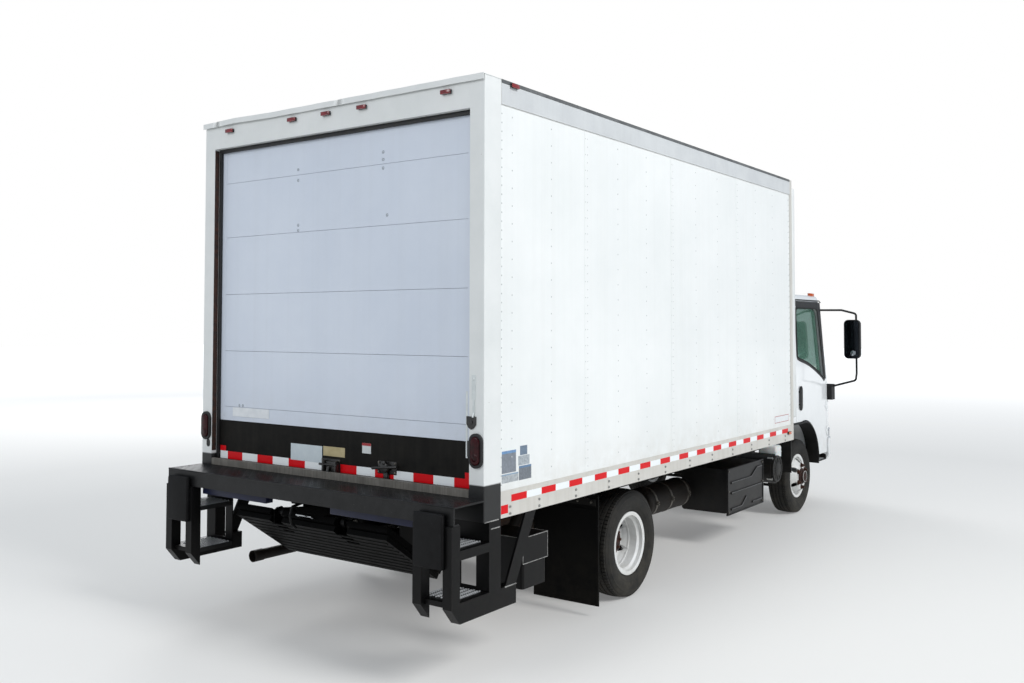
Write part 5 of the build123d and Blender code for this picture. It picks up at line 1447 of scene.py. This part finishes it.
# Cab inside: a moulded dashboard with its gauge hood, and a trim panel on each door with an arm
# rest, a pull and a speaker.
dash_plastic = surface("grained_grey_dashboard", "#3a3b3d", "#444547", 90, 1.5, 0.2, 0.6)
for side, name in sides:
    lower_skin = [v.co.y * side for v in nodes["door_" + name].data.vertices if v.co.z < 1.3]
    inner_y = min(lower_skin) - 0.0005
    arch_edge = [
        (front_axle_x + 0.48 * cos(radians(a)), arch_z + 0.48 * sin(radians(a)))
        for a in (88, 74, 60, 46, 32, 18)
    ]
    edge = [
        (5.572, 1.012), *arch_edge, (6.255, 0.59), (6.44, 0.59), (6.44, 1.318), (5.64, 1.548),
        (5.572, 1.548),
    ]
    begin("door_inner_trim_" + name)
    plate([(x, side * inner_y, z) for x, z in edge], (0, -side * 0.009, 0), 0.003, 2)
    slab((5.7, side * (inner_y - 0.052), 1.09), (6.12, side * (inner_y - 0.006), 1.128), 0.012, 3)
    slab((6.16, side * (inner_y - 0.03), 1.16), (6.3, side * (inner_y - 0.006), 1.196), 0.008, 2)
    turned(
        [(0.006, 0.078), (0.013, 0.076), (0.015, 0.07), (0.011, 0.064), (0.0105, 0.02), (0.013, 0.0)],
        (6.34, side * inner_y, 0.8), (0, -side, 0), 36,
    )
    done(dash_plastic, "door_" + name, 40)
begin("dashboard_moulding")
profile = ((6.47, 1.18), (6.79, 1.12), (6.79, 1.318), (6.64, 1.393), (6.5, 1.36))
plate([(s, -0.79, z) for s, z in profile], (0, 1.58, 0), 0.018, 3)
bar((6.52, 0.44, 1.3), (6.372, 0.44, 1.384), 0.034, 20, rounding=0.004)
for vent_y in (-0.69, -0.16, 0.02, 0.69):
    slab((6.492, vent_y - 0.055, 1.285), (6.506, vent_y + 0.055, 1.335), 0.006, 2)
slab((6.476, -0.56, 1.205), (6.496, -0.24, 1.268), 0.008, 2)
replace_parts(done(dash_plastic, "cab"), "dashboard")
begin("dashboard_gauge_hood")
slab((6.5, 0.26, 1.372), (6.64, 0.62, 1.43), 0.018, 3)
done(dash_plastic, "cab")


# Seats: woven cloth over foam on a covered riser. Each cushion and back is a crowned pad with its
# sides drawn in, edges rounded, and channels sewn across its face.
thread_mm = 6.0
seat_cloth = surface(
    "woven_seat_cloth", "#4a4d52", "#3b3e43", 180, thread_mm, 0.3, 0.85, 0.05, Sheen_Weight=0.3
)
tree, place = opened(seat_cloth)
threads = []
for direction in ("X", "Y"):
    wave = {"Scale": 500 / thread_mm / pi, "bands_direction": direction}
    threads.append((add_node(tree, "TexWave", wave, {"Vector": place}), "Fac"))
woven = combine(tree, "MULTIPLY", *threads)
relief = add_node(tree, "Bump", {"Strength": 0.4, "Distance": 0.0006}, {"Height": woven})
link(tree, (relief, "Normal"), tree.nodes["Principled BSDF"].inputs["Normal"])
begin("seat_riser")
slab((5.33, -0.9, 0.998), (5.96, 0.9, 1.288), 0.02, 2)
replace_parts(done(dash_plastic, "cab"), "seats")


def cushion(low, high, channels):
    """A crowned foam pad between two corners, with channels at shares of its half width."""
    low, high = Vector(low), Vector(high)
    size, middle = high - low, (low + high) / 2
    bpy.ops.mesh.primitive_cube_add(size=1, location=middle, scale=size)
    bpy.ops.mesh.bevel(offset=0.045, segments=6, affect="EDGES")
    bpy.ops.mesh.select_all(action="SELECT")
    bpy.ops.mesh.subdivide(number_cuts=7)
    bpy.ops.object.mode_set(mode="OBJECT")
    for vertex in bpy.context.object.data.vertices:
        u, v, w = [2 * (at - centre) / span for at, centre, span in zip(vertex.co, middle, size)]
        pull = 0.018 * (1 - w * w)
        vertex.co.x -= pull * u * (1 - v * v)
        vertex.co.y -= pull * v * (1 - u * u)
        if w > 0:
            crown = 0.028 * (1 - u * u) * (1 - v * v)
            seam = min(abs(v - channel) for channel in channels)
            vertex.co.z += w * (crown - 0.012 * max(0.0, 1 - seam / 0.04)) - 0.016 * w


for name, low_y, high_y, channels in (
    ("passenger", -0.858, 0.118, (-0.6, -0.04, 0.04, 0.6)), ("driver", 0.232, 0.798, (-0.55, 0.55)),
):
    begin(f"{name}_seat_cushion")
    cushion((5.402, low_y, 1.292), (5.938, high_y, 1.432), channels)
    base = done(seat_cloth, "cab", 60)
    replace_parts(base, "seats")
    begin(f"{name}_seat_back")
    cushion((-0.32, low_y, -0.055), (0.32, high_y, 0.06), channels)
    lean = Vector((-0.16, 0, 0.987)).normalized()
    out = Vector((lean.z, 0, -lean.x))
    for vertex in bpy.context.object.data.vertices:
        spot = Vector((5.335, 0, 1.7)) + lean * vertex.co.x * 0.93 + out * vertex.co.z
        vertex.co = (spot.x, vertex.co.y, spot.z)
    back = done(seat_cloth, "cab", 60)
    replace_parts(back, "seats")
